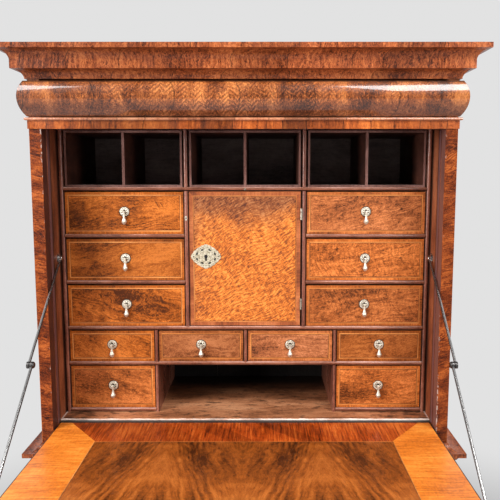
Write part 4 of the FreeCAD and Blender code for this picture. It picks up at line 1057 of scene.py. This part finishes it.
def escutcheon(name, body, sheet, u, v, base):
    """A pierced and scalloped lozenge plate with a raised rim, over a dark sheet of painted shade that shows
    through the keyhole and the piercings.
    """
    width, height = plate_size
    loops = [lozenge(width, height, 1, SCALLOP_DEPTH), keyhole_loop()]
    for step in range(PIERCINGS):
        angle = math.tau * (step + 0.5) / PIERCINGS
        x = PIERCING_REACH[0] * width * math.cos(angle)
        y = PIERCING_REACH[1] * height * math.sin(angle)
        loops.append(oval(x, y, *PIERCING_SIZE, angle + math.pi / 2))
    for hand in SIDES.values():
        loops.append(oval(hand * END_REACH * width, 0, *END_SIZE))
    top = base + PLATE_THICK
    plate = cut_out(loops, PLATE_THICK, PLATE_BEVEL, base)
    rim = tubes([lozenge(width, height, RIM_SHARE)], RIM_WIRE, top)
    collar = tubes([oval(*COLLAR, count=40)], COLLAR_WIRE, top)
    beads = tubes([oval(*place, BEAD_SIZE, BEAD_SIZE, count=12) for place in BEADS], BEAD_WIRE, top)
    # The dark backing: painted shade in the keyhole and the piercings.
    dark = cut_out([lozenge(width, height, BACKING_SHARE)], BACKING_THICK, BACKING_BEVEL)
    parts = [(plate, 0), (rim, 0), (collar, 0), (beads, 0), (dark, 1)]
    return joined(name, body, "plate_brass keyhole_dark", sheet, u, v, parts)


plate_low, plate_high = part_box("door_escutcheon")
plate_size = ((plate_high.x - plate_low.x) / MM, (plate_high.z - plate_low.z) / MM)
plate_middle = (plate_low + plate_high) / 2
door_plate = escutcheon(
    "door_plate", "door", door_sheet, plate_middle.x - door_low.x, plate_middle.z - door_low.z, base=0)
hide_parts("door_escutcheon")

# The lock's plate and its screws on the inner face of the fall, at the middle of the lip.
LOCK_WIDE = 90
LOCK_DEEP = 58
LOCK_CORNER = 4
LOCK_THICK = 0.7
LOCK_BEVEL = 0.15
SCREW_PLACE = (0.42, 0.36)
SCREW_HEAD = 6.5
SCREW_SLOT = 1.1
SCREW_THICK = 0.5
SCREW_BEVEL = 0.12
SCREW_BASE = 0.6
SLOT_SHARE = 0.8


def plate_loop(x, y, width, height, corner=0):
    """A closed loop round a rectangle with cut corners."""
    points = []
    for side, end in ((1, 1), (-1, 1), (-1, -1), (1, -1)):
        cuts = ((0, corner), (corner, 0)) if side == end else ((corner, 0), (0, corner))
        for along, aside in cuts:
            points.append((x + side * (width / 2 - along), y + end * (height / 2 - aside)))
    return points


lock_parts = [(cut_out([plate_loop(0, 0, LOCK_WIDE, LOCK_DEEP, LOCK_CORNER)], LOCK_THICK, LOCK_BEVEL), 0)]
for side in (-1, 1):
    for end in (-1, 1):
        head = (side * SCREW_PLACE[0] * LOCK_WIDE, end * SCREW_PLACE[1] * LOCK_DEEP)
        loops = [oval(*head, SCREW_HEAD, SCREW_HEAD), plate_loop(*head, SCREW_HEAD * SLOT_SHARE, SCREW_SLOT)]
        lock_parts.append((cut_out(loops, SCREW_THICK, SCREW_BEVEL, SCREW_BASE), 1))
joined("lock_plate", "fall", "brass iron", writing_face, -fall_low.x, LOCK_DEEP / 2 * MM + VENEER, lock_parts)

# The fall's escutcheon lies over the solid one on its outer face.
PLATE_INSET = 6
PLATE_LIFT = 0.9
escutcheon("fall_plate", "fall", outer_face, -fall_low.x,
           fall_size[1] - (PLATE_INSET + plate_size[1] / 2) * MM, PLATE_LIFT)

# Radius and lift of the stays' rivets.
RIVET = ((5.2, -0.4), (5.2, 0.5), (4.9, 1.2), (4, 2), (2.6, 2.6), (1, 2.9))
FLAT_RIVET = [(radius, lift * 0.5) for radius, lift in RIVET]
KNEE_DOME = ((7.4, -0.4), (7.5, 0.6), (7.1, 1.8), (6.1, 3), (4.5, 3.9), (2.4, 4.5), (0.8, 4.7))
EYE_HALF = 3 * MM
for word, hand in SIDES.items():
    upper = "stay_upper_" + word
    lower = "stay_lower_" + word
    knee = knee_of(word)
    inward = RIGHT * -hand
    dome_place = Vector((pivots[lower].x, knee.y, knee.z)) + inward * EYE_HALF
    turned("knee_rivet_" + word, lower, "iron_dark", dome_place, inward, KNEE_DOME)
    back_place = Vector((pivots[upper].x, knee.y, knee.z)) - inward * EYE_HALF
    turned("knee_back_" + word, upper, "iron_dark", back_place, -inward, FLAT_RIVET)
    turned("head_rivet_" + word, upper, "iron", pivots[upper] + inward * EYE_HALF, inward, RIVET)

# A small brass catch plate on the post left of the door, level with the upper hinge.
CATCH_ASIDE = 6.3 * MM
CATCH_BELOW = 15 * MM
CATCH_SIZE = (6.5, 13)
CATCH_THICK = 1.2
CATCH_BEVEL = 0.3
CATCH_EYE = 2
CATCH_WIRE = 0.7
hinge_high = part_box("door_hinges")[1]
post_tip_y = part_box("nest_uprights")[0].y
catch_corner = (door_low.x - CATCH_ASIDE, post_tip_y, hinge_high.z - CATCH_BELOW)
catch = cut_out([oval(0, 0, *CATCH_SIZE, count=24)], CATCH_THICK, CATCH_BEVEL)
catch_eye = tubes([oval(0, 0, CATCH_EYE, CATCH_EYE, count=14)], CATCH_WIRE, CATCH_THICK)
joined("catch_plate", "root", "brass brass_dirt", Sheet(catch_corner, RIGHT, UP, 0, 0), 0, 0,
       [(catch, 0), (catch_eye, 1)])


# Stage, light and camera

FLOOR_SIDE = 60
FLOOR_CORNERS = ((-1, -1), (1, -1), (1, 1), (-1, 1))
FADE_START = 0.9
FADE_END = 2.1
PAPER = rgb(76, 76, 76)
LIT_PAPER = rgb(44, 44, 44)
FRONT_LIGHT = rgb(15, 15, 15.5)
BACK_LIGHT = rgb(60, 60, 61)


def seen_as_is(tree):
    """The camera's own rays, and rays reflected by or passed through something clear."""
    path = add(tree, "LightPath", {}).outputs
    rays = [Signal(tree, path["Is " + kind + " Ray"]) for kind in ("Camera", "Glossy", "Transmission")]
    return rays[0], rays[1].larger(rays[2])


def stage_floor():
    """A wide pale floor that goes over into the colour of the background far from the object."""
    mesh = bpy.data.meshes.new("floor")
    mesh.from_pydata([(x * FLOOR_SIDE, y * FLOOR_SIDE, 0) for x, y in FLOOR_CORNERS], [], [(0, 1, 2, 3)])
    tree, shader = new_material("floor_paper")
    fill(tree, shader, {"Roughness": 0.9, "Base Color": LIT_PAPER})
    camera_ray, shiny_ray = seen_as_is(tree)
    reach = place_of(tree).length()
    far = reach.remap(FADE_START, FADE_END, smooth=True) * camera_ray.larger(shiny_ray)
    glow = far.node("Emission", {"Color": PAPER, "Strength": 1})
    surface = far.node("MixShader", {0: far, 1: Signal(tree, shader.outputs[0]), 2: glow})
    fill(tree, tree.nodes["Material Output"], {"Surface": surface})
    dress(mesh, "floor_paper")
    item = show("floor", mesh)


def lamp(name, place, target, size, power):
    data = bpy.data.lights.new(name, "AREA")
    data.shape = "RECTANGLE"
    data.size, data.size_y = size
    data.energy = power
    item = show(name, data)
    item.location = place
    item.rotation_euler = (Vector(target) - Vector(place)).to_track_quat("-Z", "Y").to_euler()


def world_light():
    """A plain room, pale behind the object and dimmer in front of it, seen as an even pale background."""
    world = bpy.data.worlds.new("room")
    bpy.context.scene.world = world
    world.use_nodes = True
    tree = world.node_tree
    way = Signal(tree, add(tree, "TexCoord", {}).outputs["Generated"])
    behind = way.parts("Y")[0].remap(-0.3, 0.5, smooth=True)
    camera_ray, shiny_ray = seen_as_is(tree)
    seen = camera_ray.larger(shiny_ray * behind)
    light = behind.between(FRONT_LIGHT, BACK_LIGHT)
    fill(tree, tree.nodes["Background"], {"Color": seen.between(light, PAPER), "Strength": 1})


# The photograph's viewpoint, measured from the front of the case and from the writing floor.
VIEW_ACROSS = 0.0471
VIEW_FORWARD = 1.5785
VIEW_HEIGHT = 0.6562
VIEW_PITCH = 6.894
FOCAL_PIXELS = 635.07
PRINCIPAL_X = 262.76
IMAGE_SIDE = 500
SENSOR = 36


def camera():
    data = bpy.data.cameras.new("camera")
    data.sensor_width = SENSOR
    data.lens = FOCAL_PIXELS * SENSOR / IMAGE_SIDE
    data.shift_x = (IMAGE_SIDE / 2 - PRINCIPAL_X) / IMAGE_SIDE
    item = show("camera", data)
    item.location = (VIEW_ACROSS, front_y - VIEW_FORWARD, floor_z + VIEW_HEIGHT)
    item.rotation_euler = (math.radians(90 - VIEW_PITCH), 0, 0)
    bpy.context.scene.camera = item


stage_floor()
lamp("left_overhead", (-1.65, -1.3, 3.05), (-0.2, 0.2, 1.2), (1.1, 0.9), power=36)
lamp("right_overhead", (1.2, -1.3, 3.05), (0.2, 0.2, 1.2), (1.3, 0.9), power=52)
lamp("left_window", (-2.75, -1.75, 1.85), (0.1, 0.2, 1.1), (1.2, 1.8), power=125)
lamp("right_window", (2.4, -1.9, 1.7), (0, 0.2, 1.1), (1, 1.6), power=32)
world_light()
camera()
bpy.context.scene.view_settings.view_transform = "Standard"
